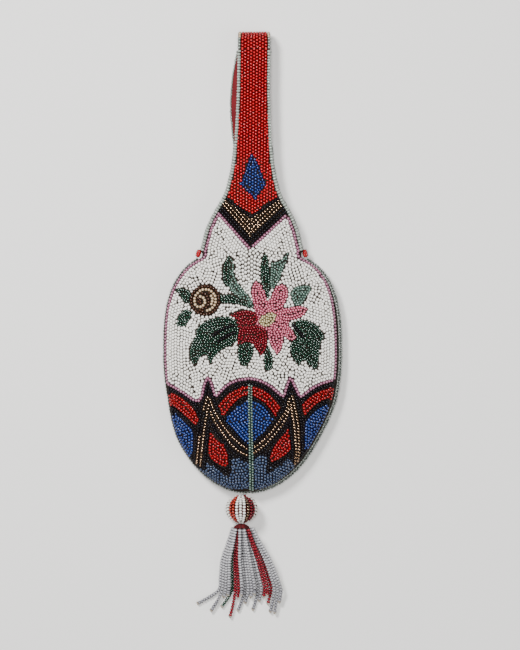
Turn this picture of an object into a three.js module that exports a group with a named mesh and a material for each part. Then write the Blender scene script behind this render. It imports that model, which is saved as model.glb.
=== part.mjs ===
// Beaded wrist purse with a strap loop and a fringed tassel, lying on its back.
// Millimetres. +Z rises out of the front face, +Y runs to the top of the strap and +X to the right.
// The origin is on the table, in the flat of the back panel.
import * as THREE from 'three';
import { mergeVertices } from 'three/addons/utils/BufferGeometryUtils.js';

// Body outline: a half ellipse below the belly line and a squarer crown above it
const bodyHalfWidth = 44.9;
const bellyLine = 10;
const bellyToTip = 69.4;
const bellyToCrown = 53.3;
const bodyCentre = 0.4;
const tipPowerShare = 2;
const crownPowerShare = 3;

// Beaded cloth, lining and the seam between the two faces
const seamHeight = 6;
const clothThickness = 1.9;
const liningThickness = 0.6;
const clearance = 0.3;
const liningGap = 0.5;
const frontBulge = 10.3;
const backBulge = 9;
const domePowerShare = 0.6;
const mouthTaperShare = 0.57;
const seamBeadRadius = 1.2;
const liningInset = 4.2;
const neckLiningInset = 3;
const strapLiningInset = 0.6;
const seamShift = 0.4;
const seamWaistShare = 0.8;
const panelInset = 1;
const rimRise = clothThickness + seamBeadRadius + clearance / 2;
const frontShift = -0.6;
const frontShiftTop = 56;
const frontShiftFoot = 30;
const reliefRows = 16;
const reliefDepth = 0.7;
const reliefReach = 6;

// Handle loop: two necks, two straps and the fold at the top
const shoulderLine = 60;
const notchShare = 0.561;
const notchHalfWidth = notchShare * bodyHalfWidth;
const foldReach = 9;
const loopRise = 6;
const strapHalfWidth = 8.4;
const neckShare = 0.588;
const neckHalfWidth = neckShare * bodyHalfWidth;
const neckLength = 51.5;
const strapLength = 51.5;
const midReach = 3;
const topFoldStraight = 3;
const strapLean = 1.2;
const backStrapSway = 3;
const edgeOpenLength = 35;
const innerFoldShare = 0.35;
const outerFoldShare = 0.6;
const neckFlareShares = [
  [0, 1], [0.09, 0.94], [0.24, 0.83], [0.34, 0.71], [0.44, 0.56], [0.53, 0.4], [0.62, 0.28],
  [0.76, 0.18], [0.87, 0.12], [1.07, 0.06], [1.31, 0.03], [1.6, 0],
];

const tackRadius = 1.4;
const centreSeamRadius = 0.8;
const centreSeamTop = -4.5;

// Tassel: a beaded ball on a thread, then a bound fringe
const ballRadius = 8.1;
const ballHalfHeight = 6.9;
const ballBeadDepth = 1.7;
const ballBore = 1.2;
const ballAcross = -4.75;
const ballLine = -67.9;
const ballCentre = new THREE.Vector3(ballAcross, ballLine, ballRadius);
const ballFlutes = 16;
const fluteShare = 0.93;
const hangerRadius = 0.4;
const hangerRoute = [[-2.6, -60.2, 6], [-3.4, -60.3, 6.7], [-4.3, -60.35, 7.4], [-4.75, -61, 8.1]];
const hangerPitch = 1;
const coreCordRadius = 0.8;
const coreCordPitch = 3;
const bindingLength = 2.8;
const bindingHalfWidth = 4.4;
const bindingNeck = 1;
const bindingFlatShare = 0.8;
const bindingProfileShares = [
  [0.23, 0.35], [0.6, 0.65], [0.8, 0.7], [0.85, 0.8], [1, 0.85], [1, 1], [0, 1],
];

// Fringe: limp bead strands that fan out from the binding and lie on the table
const strandCount = 20;
const strandRadius = 0.95;
const strandLayers = 4;
const strandKnuckle = 3.6;
const strandWaistShare = 0.62;
const fringeTop = -78.2;
const fringeSpread = 9.8;
const fringeTopCentre = -4.25;
const layerPitchTop = 2.08;
const layerPitchLow = 1.28;
const layerPitchToe = 0.95;
const layerPitchEnd = 0.7;
const fanMiddle = { y: -92.5, left: -14.5, right: 9.5, rise: 1.9 };
const fanEnd = { y: -107.5, left: -16, right: 15 };
const strandEnds = [
  [-10.5, -114.5], [-5.5, -118], [-0.8, -111], [-0.4, -110], [-5, -116], [-2.6, -121], [-0.5, -111.5],
  [-0.2, -110], [-3.5, -118], [-1.5, -114], [-0.4, -111], [-0.2, -109.5], [-2.6, -117.5], [-1, -113],
  [-0.4, -111], [-0.2, -110], [-1.6, -114.5], [-2, -118.5], [-1.5, -119], [-0.8, -113.5],
];

const colours = {
  white: 0xe9e4d8, red: 0xc8321f, darkRed: 0x8c1f26, teal: 0x7fa79a, lining: 0x6e1620,
  thread: 0x7a1a20, green: 0x1f4a33, core: 0xb99a6c,
};

function material(name, roughness = 0.35) {
  return new THREE.MeshStandardMaterial({ color: colours[name], roughness, metalness: 0 });
}

function mesh(name, geometry, colour, roughness) {
  const item = new THREE.Mesh(geometry, material(colour, roughness));
  item.name = name;
  return item;
}

// Closed solid from a grid of outer points and a grid of inner points of the same size
function sheetSolid(rows, columns, outer, inner) {
  const points = [];
  const grid = (place) => {
    const start = points.length / 3;
    for (const row of rows) {
      for (const column of columns) points.push(...place(column, row));
    }
    return (i, j) => start + i * columns.length + j;
  };
  const top = grid(outer);
  const bottom = grid(inner);
  const faces = [];
  const quad = (a, b, c, d) => faces.push(a, b, c, a, c, d);
  const lastRow = rows.length - 1;
  const lastColumn = columns.length - 1;
  for (let i = 0; i < lastRow; i += 1) {
    for (let j = 0; j < lastColumn; j += 1) {
      quad(top(i, j), top(i, j + 1), top(i + 1, j + 1), top(i + 1, j));
      quad(bottom(i, j), bottom(i + 1, j), bottom(i + 1, j + 1), bottom(i, j + 1));
    }
    quad(top(i, 0), top(i + 1, 0), bottom(i + 1, 0), bottom(i, 0));
    quad(top(i + 1, lastColumn), top(i, lastColumn), bottom(i, lastColumn), bottom(i + 1, lastColumn));
  }
  for (let j = 0; j < lastColumn; j += 1) {
    quad(top(0, j + 1), top(0, j), bottom(0, j), bottom(0, j + 1));
    quad(top(lastRow, j), top(lastRow, j + 1), bottom(lastRow, j + 1), bottom(lastRow, j));
  }
  return solidGeometry(points, faces);
}

// A geometry whose faces are turned outwards, whichever way its grid ran
function solidGeometry(points, faces) {
  const at = (i) => new THREE.Vector3(points[3 * i], points[3 * i + 1], points[3 * i + 2]);
  let volume = 0;
  for (let f = 0; f < faces.length; f += 3) {
    volume += at(faces[f]).dot(at(faces[f + 1]).cross(at(faces[f + 2])));
  }
  const order = volume < 0 ? faces.slice().reverse() : faces;
  const geometry = new THREE.BufferGeometry();
  geometry.setAttribute('position', new THREE.Float32BufferAttribute(points, 3));
  geometry.setIndex(order);
  const merged = mergeVertices(geometry, clearance / 1000);
  merged.computeVertexNormals();
  return merged;
}

// Tube along a route whose radius swells at each bead, or is even where waistShare is 1
function beadedTube(route, radius, pitch, sides, waistShare) {
  const curve = new THREE.CatmullRomCurve3(route, false, 'centripetal');
  const beads = Math.max(2, Math.round(curve.getLength() / pitch));
  const stations = waistShare === 1 ? beads : 2 * beads;
  const frames = curve.computeFrenetFrames(stations, false);
  const points = [];
  for (let i = 0; i <= stations; i += 1) {
    const centre = curve.getPointAt(i / stations);
    const size = i % 2 === 0 ? radius * waistShare : radius;
    for (let k = 0; k < sides; k += 1) {
      const angle = (2 * Math.PI * (k + 1 / 2)) / sides;
      const rim = centre.clone()
        .addScaledVector(frames.normals[i], size * Math.cos(angle))
        .addScaledVector(frames.binormals[i], size * Math.sin(angle));
      points.push(rim.x, rim.y, rim.z);
    }
  }
  const faces = [];
  for (let i = 0; i < stations; i += 1) {
    for (let k = 0; k < sides; k += 1) {
      const next = (k + 1) % sides;
      const [a, b] = [i * sides + k, i * sides + next];
      faces.push(a, b, b + sides, a, b + sides, a + sides);
    }
  }
  const last = stations * sides;
  for (let k = 1; k < sides - 1; k += 1) {
    faces.push(0, k + 1, k, last, last + k, last + k + 1);
  }
  return solidGeometry(points, faces);
}

const lerp = THREE.MathUtils.lerp;

function spaced(from, to, steps) {
  return Array.from({ length: steps + 1 }, (_, i) => lerp(from, to, i / steps));
}

// Columns crowd towards both side seams, where the cloth turns down
function seamColumns(steps) {
  return spaced(-1, 1, steps).map((u) => Math.sin((u * Math.PI) / 2));
}

function eased(value, low, high) {
  return THREE.MathUtils.smoothstep(value, low, high);
}

function tableShare(table, at) {
  if (at <= table[0][0]) return table[0][1];
  const k = table.findIndex(([place]) => place >= at);
  if (k < 0) return table[table.length - 1][1];
  const [[a, low], [b, high]] = [table[k - 1], table[k]];
  return lerp(low, high, (at - a) / (b - a));
}

// Half the body's width at y, for its outline or for one drawn in by inset
function bodyHalf(y, inset = 0) {
  const below = y < bellyLine;
  const reach = (below ? bellyToTip : bellyToCrown) - inset;
  const power = below ? tipPowerShare : crownPowerShare;
  const away = Math.min(1, Math.abs(y - bellyLine) / reach);
  return (bodyHalfWidth - inset) * (1 - away ** power) ** (1 / power);
}

function neckHalf(y) {
  const flare = tableShare(neckFlareShares, (y - shoulderLine) / neckLength);
  return lerp(strapHalfWidth, neckHalfWidth, flare);
}

function sheetHalf(y) {
  if (y < bellyLine) return bodyHalf(y, panelInset);
  const throat = y < shoulderLine + tackRadius + clearance;
  return throat ? Math.max(bodyHalf(y, panelInset), notchHalfWidth) : neckHalf(y);
}

function centreAt(y) {
  const along = Math.max(0, y - shoulderLine) / (neckLength + strapLength);
  return bodyCentre + strapLean * along;
}

// The front face hangs over the left seam, and the back strap lies a little to the left
function swayAt(side, y) {
  if (side > 0) return frontShift * (1 - eased(y, frontShiftFoot, frontShiftTop));
  const share = (y - shoulderLine - neckLength - midReach) / (strapLength - midReach);
  return share > 0 && share < 1 ? -backStrapSway * Math.sin(Math.PI * share) : 0;
}

// Height of the beaded face over the seam plane, u from seam to seam
function rise(u, y, side) {
  const bulge = side > 0 ? frontBulge : backBulge;
  const widest = bodyHalfWidth - panelInset;
  const full = (bodyHalf(Math.min(y, shoulderLine - clearance), panelInset) / widest) ** 2;
  const taper = side > 0 ? 1 - mouthTaperShare * eased(y, bellyLine, shoulderLine) : 1;
  const body = rimRise + bulge * taper * ((1 - u * u) * full) ** domePowerShare;
  const open = eased(y, shoulderLine, shoulderLine + edgeOpenLength);
  const loop = rimRise + (loopRise - rimRise) * (1 - (1 - open) * u * u);
  return lerp(body, loop, eased(y, shoulderLine - foldReach, shoulderLine + foldReach));
}

// One layer of a face: side 1 is the front and -1 the back, which the table flattens
function facePoint(side, depth, halfOf) {
  return (u, y) => {
    const x = u * halfOf(y);
    const across = Math.min(1, Math.abs(x) / sheetHalf(y));
    const free = rise(across, y, side);
    const height = side > 0 ? free : Math.min(free, seamHeight);
    return [centreAt(y) + swayAt(side, y) + x, y, seamHeight + side * (height - depth)];
  };
}

const liningDepth = clothThickness + liningGap;

// Depth of the furrows between the raised rows of beads, which level out towards the panel's ends
function furrow(u, y) {
  const column = Math.round((u + 1) * reliefRows);
  const low = eased(y, bodyFoot, bodyFoot + reliefReach);
  const high = 1 - eased(y, bodyTop - reliefReach, bodyTop);
  return column % 2 ? reliefDepth * low * high : 0;
}

// The back keeps its furrows only where it isn't pressed flat on the table
function backFurrow(u, y) {
  return rise(Math.abs(u), y, -1) < seamHeight ? furrow(u, y) : 0;
}

function facePiece(name, side, rows, columns, colour, furrowOf = () => 0) {
  const smooth = facePoint(side, 0, sheetHalf);
  const outer = (u, y) => {
    const [x, line, z] = smooth(u, y);
    return [x, line, z - side * furrowOf(u, y)];
  };
  const inner = facePoint(side, clothThickness, sheetHalf);
  return mesh(name, sheetSolid(rows, columns, outer, inner), colour);
}

function liningPiece(name, side, rows, columns, inset) {
  const half = (y) => Math.max(sheetHalf(y) - inset, clearance);
  const outer = facePoint(side, liningDepth, half);
  const inner = facePoint(side, liningDepth + liningThickness, half);
  return mesh(name, sheetSolid(rows, columns, outer, inner), 'lining', 0.8);
}

// Rows of a panel from the tip up, crowded where the outline turns
function bodyRows(steps, lowest, highest) {
  const bottom = bellyLine - lowest;
  return spaced(0, 1, steps).map((t) => {
    const turned = bellyLine - bottom * Math.cos((Math.PI / 2) * Math.min(1, 2 * t));
    return t <= 1 / 2 ? turned : lerp(bellyLine, highest, 2 * t - 1);
  });
}

const purse = new THREE.Group();
const bodyTop = shoulderLine - foldReach;
const bodyFoot = bellyLine - bellyToTip + panelInset + clearance;
const liningFoot = bodyFoot + liningInset;

// Bag: two beaded panels, each with its lining
const reliefColumns = spaced(-1, 1, 2 * reliefRows);
const frontRows = bodyRows(18, bodyFoot, bodyTop);
const backRows = bodyRows(16, bodyFoot, bodyTop);
purse.add(facePiece('front_panel', 1, frontRows, reliefColumns, 'white', furrow));
purse.add(facePiece('back_panel', -1, backRows, reliefColumns, 'white', backFurrow));
const liningRows = bodyRows(14, liningFoot, bodyTop);
purse.add(liningPiece('front_lining', 1, liningRows, seamColumns(10), liningInset));
purse.add(liningPiece('back_lining', -1, liningRows, seamColumns(12), liningInset));

// Beaded cloth that bends at the shoulders when the handle folds
const foldRows = [
  bodyTop + clearance, shoulderLine - outerFoldShare * foldReach, shoulderLine - innerFoldShare * foldReach,
  shoulderLine, shoulderLine + tackRadius, shoulderLine + 2 * tackRadius,
  shoulderLine + outerFoldShare * foldReach, shoulderLine + foldReach - clearance,
];
purse.add(facePiece('front_shoulder_bend', 1, foldRows, seamColumns(10), 'white'));
purse.add(facePiece('back_shoulder_bend', -1, foldRows, seamColumns(10), 'white'));

// Necks and straps of the handle loop, with the bends between them
const neckFoot = shoulderLine + foldReach;
const midLine = shoulderLine + neckLength;
const strapTop = midLine + strapLength;
const neckRows = spaced(neckFoot, midLine - midReach, 9);
const midRows = spaced(midLine - midReach + clearance, midLine + midReach - clearance, 2);
const strapRows = spaced(midLine + midReach, strapTop - clearance, 6);
const neckColumns = seamColumns(8);
const strapColumns = seamColumns(4);
purse.add(facePiece('front_neck', 1, neckRows, neckColumns, 'white'));
purse.add(facePiece('back_neck', -1, neckRows, neckColumns, 'white'));
purse.add(liningPiece('front_neck_lining', 1, neckRows, strapColumns, neckLiningInset));
purse.add(liningPiece('back_neck_lining', -1, neckRows, strapColumns, neckLiningInset));
purse.add(facePiece('front_strap_bend', 1, midRows, strapColumns, 'red'));
purse.add(facePiece('back_strap_bend', -1, midRows, strapColumns, 'red'));
purse.add(facePiece('front_strap', 1, strapRows, strapColumns, 'red'));
purse.add(facePiece('back_strap', -1, strapRows, strapColumns, 'red'));
purse.add(liningPiece('front_strap_lining', 1, strapRows, strapColumns, strapLiningInset));
purse.add(liningPiece('back_strap_lining', -1, strapRows, strapColumns, strapLiningInset));

// Fold at the top of the loop: short flats joined by a half turn
function foldPoint(depth, halfOf) {
  const turnLine = strapTop + topFoldStraight;
  const radius = loopRise - depth;
  return (u, t) => {
    const x = centreAt(strapTop) + u * halfOf;
    if (t < 0) return [x, lerp(turnLine, strapTop, -t), seamHeight + radius];
    if (t > 1) return [x, lerp(turnLine, strapTop, t - 1), seamHeight - radius];
    const angle = Math.PI * t;
    return [x, turnLine + radius * Math.sin(angle), seamHeight + radius * Math.cos(angle)];
  };
}

const foldSteps = [-1, ...spaced(0, 1, 8), 2];
const foldHalf = sheetHalf(strapTop);
const foldCloth = sheetSolid(
  foldSteps,
  strapColumns,
  foldPoint(0, foldHalf),
  foldPoint(clothThickness, foldHalf),
);
const foldInside = sheetSolid(
  foldSteps,
  strapColumns,
  foldPoint(liningDepth, foldHalf - strapLiningInset),
  foldPoint(liningDepth + liningThickness, foldHalf - strapLiningInset),
);
purse.add(mesh('strap_top_fold', foldCloth, 'red'));
purse.add(mesh('strap_top_fold_lining', foldInside, 'lining', 0.8));

// Side seams: a row of beads from the tip round to each shoulder notch
function seamRoute(side) {
  const width = bodyHalfWidth - seamBeadRadius;
  const low = bellyToTip - seamBeadRadius;
  const high = bellyToCrown - seamBeadRadius;
  const point = (x, y) => new THREE.Vector3(bodyCentre + seamShift + side * x, y, seamHeight);
  const lowest = Math.asin(seamBeadRadius / 2 / width);
  const topReach = shoulderLine - 2 * tackRadius + clearance - bellyLine;
  const highest = Math.asin((topReach / high) ** (crownPowerShare / 2));
  const below = spaced(lowest, Math.PI / 2, 12).map((a) => {
    return point(width * Math.sin(a), bellyLine - low * Math.cos(a));
  });
  const above = spaced(0, highest, 8).slice(1).map((a) => {
    const across = width * Math.cos(a) ** (2 / crownPowerShare);
    return point(across, bellyLine + high * Math.sin(a) ** (2 / crownPowerShare));
  });
  return [...below, ...above];
}

for (const [label, side] of [['left', -1], ['right', 1]]) {
  const seam = beadedTube(seamRoute(side), seamBeadRadius, strandKnuckle, 5, seamWaistShare);
  purse.add(mesh(`${label}_seam_beading`, seam, 'teal'));
  const tack = new THREE.SphereGeometry(tackRadius, 8, 6);
  const seat = notchHalfWidth + clearance + tackRadius;
  const stitch = mesh(`${label}_shoulder_tack`, tack, 'teal');
  stitch.position.set(bodyCentre + side * seat, shoulderLine, seamHeight);
  purse.add(stitch);
}

// Centre seam: a raised row of beads down the lower half of the front
const centreRows = spaced(centreSeamTop, bodyFoot + 2 * seamBeadRadius, 10);
const centreRoute = centreRows.map((y) => {
  const height = rise(0, y, 1) + clearance + centreSeamRadius;
  return new THREE.Vector3(bodyCentre, y, seamHeight + height);
});
const centreSeam = beadedTube(centreRoute, centreSeamRadius, strandKnuckle, 5, seamWaistShare);
purse.add(mesh('front_centre_seam', centreSeam, 'teal'));

// Tassel ball: fluted by its rows of beads, over a wooden core that the cord runs through
const vectors = (route) => route.map((point) => new THREE.Vector3(...point));
const hanger = beadedTube(vectors(hangerRoute), hangerRadius, hangerPitch, 6, 1);
purse.add(mesh('tassel_hanger', hanger, 'thread', 0.9));

function ballPoint(depth) {
  const [wide, tall] = [ballRadius - depth, ballHalfHeight - depth];
  const start = Math.asin(ballBore / wide);
  return (column, row) => {
    const polar = lerp(start, Math.PI - start, row);
    const valley = column % 2 === 0 ? 1 : fluteShare;
    const size = wide * Math.sin(polar) * (depth === 0 ? lerp(1, valley, Math.sin(polar)) : 1);
    const angle = (Math.PI * column) / ballFlutes;
    return [size * Math.sin(angle), tall * Math.cos(polar), size * Math.cos(angle)];
  };
}

// Solid of revolution from a profile that starts and ends on the axis
function closedLathe(profile, segments) {
  const lathe = new THREE.LatheGeometry(profile, segments);
  lathe.deleteAttribute('normal');
  lathe.deleteAttribute('uv');
  const merged = mergeVertices(lathe, clearance / 1000);
  const index = Array.from(merged.index.array);
  const kept = [];
  for (let f = 0; f < index.length; f += 3) {
    const [a, b, c] = index.slice(f, f + 3);
    if (a !== b && b !== c && a !== c) kept.push(a, b, c);
  }
  return solidGeometry(Array.from(merged.attributes.position.array), kept);
}

// Ring-shaped solid: the last column meets the first
function ringSolid(rows, count, outer, inner) {
  const points = [];
  for (const place of [outer, inner]) {
    for (const row of rows) {
      for (let k = 0; k < count; k += 1) points.push(...place(k, row));
    }
  }
  const faces = [];
  const layer = rows.length * count;
  const quad = (a, b, c, d) => faces.push(a, b, c, a, c, d);
  for (let k = 0; k < count; k += 1) {
    const next = (k + 1) % count;
    for (let i = 0; i < rows.length - 1; i += 1) {
      const [a, b] = [i * count + k, i * count + next];
      quad(a, b, b + count, a + count);
      quad(layer + b, layer + a, layer + a + count, layer + b + count);
    }
    const end = (rows.length - 1) * count;
    quad(next, k, layer + k, layer + next);
    quad(end + k, end + next, layer + end + next, layer + end + k);
  }
  return solidGeometry(points, faces);
}

function borePoint(column, row) {
  const depth = ballBeadDepth + clearance;
  const start = Math.asin(ballBore / (ballRadius - depth));
  const tall = (ballHalfHeight - depth) * Math.cos(start);
  const bore = ballBore - clearance / 3;
  const angle = (Math.PI * column) / ballFlutes;
  return [bore * Math.sin(angle), lerp(tall, -tall, row), bore * Math.cos(angle)];
}

const ballRows = spaced(0, 1, 8);
const ballColumns = 2 * ballFlutes;
const beadShell = ringSolid(ballRows, ballColumns, ballPoint(0), ballPoint(ballBeadDepth));
const coreShell = ringSolid(ballRows, ballColumns, ballPoint(ballBeadDepth + clearance), borePoint);
const ballBeads = mesh('tassel_ball_beads', beadShell, 'white');
const ballCore = mesh('tassel_ball_core', coreShell, 'core', 0.7);
ballBeads.position.copy(ballCentre);
ballCore.position.copy(ballCentre);
purse.add(ballBeads, ballCore);

const ballTop = ballCentre.y + ballHalfHeight;
const ballFoot = ballCentre.y - ballHalfHeight;
const cordEnds = [ballTop - 2 * clearance, ballFoot + 2 * clearance].map((y) => {
  return new THREE.Vector3(ballCentre.x, y, ballCentre.z);
});
const coreCord = beadedTube(cordEnds, coreCordRadius, coreCordPitch, 6, 1);
purse.add(mesh('tassel_core_cord', coreCord, 'thread', 0.9));

// Thread binding: wound neck that gathers the strands
const bindingTop = [new THREE.Vector2(0, 0), new THREE.Vector2(bindingNeck, 0)];
const bindingProfile = bindingTop.concat(bindingProfileShares.map(([wide, low]) => {
  return new THREE.Vector2(bindingHalfWidth * wide, -bindingLength * low);
}));
const binding = mesh('fringe_binding', closedLathe(bindingProfile, 14), 'thread', 0.9);
binding.scale.set(1, 1, bindingFlatShare);
binding.position.set(ballCentre.x, ballFoot - clearance, ballCentre.z);
purse.add(binding);

// Strand k of the fringe leaves the binding in one of three layers and sinks to the table
function strandRoute(k) {
  const share = k / (strandCount - 1);
  const layer = k % strandLayers;
  const top = fringeTopCentre + fringeSpread * (share - 1 / 2);
  const middle = lerp(fanMiddle.left, fanMiddle.right, share);
  const low = lerp(fanEnd.left, fanEnd.right, share);
  const [toe, endY] = strandEnds[k];
  const lying = strandRadius + clearance / 6;
  const topZ = ballCentre.z + (layer - (strandLayers - 1) / 2) * layerPitchTop;
  const middleZ = lying + fanMiddle.rise + layer * lerp(layerPitchTop, layerPitchLow, 0.3);
  const lowZ = lying + layer * layerPitchLow;
  const fall = endY - fanEnd.y;
  return [
    [top, fringeTop, topZ],
    [lerp(top, middle, 0.4), lerp(fringeTop, fanMiddle.y, 0.42), lerp(topZ, middleZ, 0.4)],
    [middle, fanMiddle.y, middleZ],
    [lerp(middle, low, 0.55), lerp(fanMiddle.y, fanEnd.y, 0.5), lerp(middleZ, lowZ, 0.65)],
    [low, fanEnd.y, lowZ],
    [low + 0.35 * toe, fanEnd.y + 0.45 * fall, lying + layer * layerPitchToe],
    [low + toe, endY, lying + layer * layerPitchEnd],
  ];
}

const strandColours = { 4: 'green', 5: 'darkRed', 6: 'darkRed', 12: 'darkRed', 16: 'darkRed' };
for (let k = 0; k < strandCount; k += 1) {
  const strand = beadedTube(vectors(strandRoute(k)), strandRadius, strandKnuckle, 4, strandWaistShare);
  const label = String(k + 1).padStart(2, '0');
  purse.add(mesh(`strand_${label}`, strand, strandColours[k] ?? 'white'));
}

export default purse;
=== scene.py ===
import itertools
import math
import random

import bmesh
import bpy
import numpy as np
from mathutils import Matrix, Vector


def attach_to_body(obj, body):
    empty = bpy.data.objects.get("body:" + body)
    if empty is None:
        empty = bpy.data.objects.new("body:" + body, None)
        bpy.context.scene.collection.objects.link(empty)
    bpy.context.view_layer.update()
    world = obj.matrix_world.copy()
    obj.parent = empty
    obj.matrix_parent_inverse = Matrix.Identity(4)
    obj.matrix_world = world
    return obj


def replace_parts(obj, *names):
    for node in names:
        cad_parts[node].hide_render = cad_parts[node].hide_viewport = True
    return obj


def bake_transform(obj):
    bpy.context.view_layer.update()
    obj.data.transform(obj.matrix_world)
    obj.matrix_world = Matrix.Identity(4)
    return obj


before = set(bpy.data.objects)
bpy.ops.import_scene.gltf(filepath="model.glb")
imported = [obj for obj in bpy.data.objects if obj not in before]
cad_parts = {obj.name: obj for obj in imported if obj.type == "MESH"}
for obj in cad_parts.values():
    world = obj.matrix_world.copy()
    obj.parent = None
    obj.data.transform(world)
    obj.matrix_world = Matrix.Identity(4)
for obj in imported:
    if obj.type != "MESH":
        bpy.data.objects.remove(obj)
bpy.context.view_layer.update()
mm = 0.001
scene = bpy.context.scene
chance = random.Random(11)
print("frame loaded with", len(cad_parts), "solids")

# Camera straight above the purse, far off, so that the view is nearly parallel
shot = {"x": 4.5, "y": 25.0, "frameHeight": 325.0, "distance": 2600.0, "focusPlane": 9.0, "sensor": 36.0}


def addCamera():
    data = bpy.data.cameras.new("shotCamera")
    data.sensor_width = shot["sensor"]
    data.lens = shot["sensor"] * shot["distance"] / shot["frameHeight"]
    camera = bpy.data.objects.new("shotCamera", data)
    camera.location = (shot["x"] * mm, shot["y"] * mm, (shot["distance"] + shot["focusPlane"]) * mm)
    scene.collection.objects.link(camera)
    scene.camera = camera


addCamera()
print("camera placed")

# The purse's own measures in millimetres, as the solids have them
body = {
    "halfWidth": 44.9, "bellyLine": 10.0, "bellyToTip": 69.4, "bellyToCrown": 53.3, "centre": 0.4,
    "inset": 1.0, "seamHeight": 6.0, "rimRise": 3.25, "frontBulge": 10.3, "backBulge": 9.0,
    "domePower": 0.6, "mouthTaper": 0.57, "gap": 0.3, "frontShift": -0.6, "shiftFoot": 30.0, "shiftTop": 56.0,
    "tipLean": 2.3, "leanTop": 8.0, "leanFoot": 36.0,
}
loop = {
    "shoulder": 60.0, "notchHalf": 25.19, "notchTop": 61.7, "foldReach": 9.0, "rise": 6.0, "strapHalf": 8.4,
    "neckHalf": 26.4, "neckLength": 51.5, "strapLength": 51.5, "midReach": 3.0, "lean": 1.2,
    "backSway": 3.0, "edgeOpen": 35.0, "turnStraight": 3.0,
    "flareAt": [0, 0.09, 0.24, 0.34, 0.44, 0.53, 0.62, 0.76, 0.87, 1.07, 1.31, 1.6],
    "flare": [1, 0.94, 0.83, 0.71, 0.56, 0.4, 0.28, 0.18, 0.12, 0.06, 0.03, 0],
}
bodyTop = loop["shoulder"] - loop["foldReach"]
bodyFoot = body["bellyLine"] - body["bellyToTip"] + body["inset"] + body["gap"]
neckFoot = loop["shoulder"] + loop["foldReach"]
midLine = loop["shoulder"] + loop["neckLength"]
strapTop = midLine + loop["strapLength"]


def eased(value, low, high):
    share = np.clip((value - low) / (high - low), 0, 1)
    return share * share * (3 - 2 * share)


def bodyHalf(y, inset):
    below = y < body["bellyLine"]
    reach = np.where(below, body["bellyToTip"], body["bellyToCrown"]) - inset
    power = np.where(below, 2.0, 3.0)
    away = np.minimum(1, np.abs(y - body["bellyLine"]) / reach)
    return (body["halfWidth"] - inset) * (1 - away ** power) ** (1 / power)


def sheetHalf(y):
    y = np.asarray(y, float)
    flare = np.interp((y - loop["shoulder"]) / loop["neckLength"], loop["flareAt"], loop["flare"])
    neck = loop["strapHalf"] + (loop["neckHalf"] - loop["strapHalf"]) * flare
    bag = bodyHalf(y, body["inset"])
    throat = np.where(y < loop["notchTop"], np.maximum(bag, loop["notchHalf"]), neck)
    return np.where(y < body["bellyLine"], bag, throat)


# The soft tip has sagged a little to the left on the table
def tipShift(y):
    return -body["tipLean"] * eased(-y, body["leanTop"], body["leanFoot"])


def centreAt(y):
    lean = loop["lean"] * np.maximum(0, y - loop["shoulder"]) / (strapTop - loop["shoulder"])
    return body["centre"] + lean + tipShift(y)


def swayAt(side, y):
    if side > 0:
        return body["frontShift"] * (1 - eased(y, body["shiftFoot"], body["shiftTop"]))
    share = np.clip((y - midLine - loop["midReach"]) / (loop["strapLength"] - loop["midReach"]), 0, 1)
    return -loop["backSway"] * np.sin(math.pi * share)


def middleAt(side, y):
    return float(centreAt(y)) + float(swayAt(side, y))


# Height of a face's outer surface at x from the centre line
def faceHeight(side, x, y):
    across = np.minimum(1, np.abs(x) / np.maximum(sheetHalf(y), body["gap"]))
    bulge = body["frontBulge"] if side > 0 else body["backBulge"]
    low = np.minimum(y, loop["shoulder"] - body["gap"])
    full = (bodyHalf(low, body["inset"]) / (body["halfWidth"] - body["inset"])) ** 2
    taper = 1 - body["mouthTaper"] * eased(y, body["bellyLine"], loop["shoulder"]) if side > 0 else 1
    dome = body["rimRise"] + bulge * taper * ((1 - across ** 2) * full) ** body["domePower"]
    opened = eased(y, loop["shoulder"], loop["shoulder"] + loop["edgeOpen"])
    handle = body["rimRise"] + (loop["rise"] - body["rimRise"]) * (1 - (1 - opened) * across ** 2)
    free = dome + (handle - dome) * eased(y, bodyTop, neckFoot)
    if side > 0:
        return body["seamHeight"] + free
    return body["seamHeight"] - np.minimum(free, body["seamHeight"])


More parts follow.
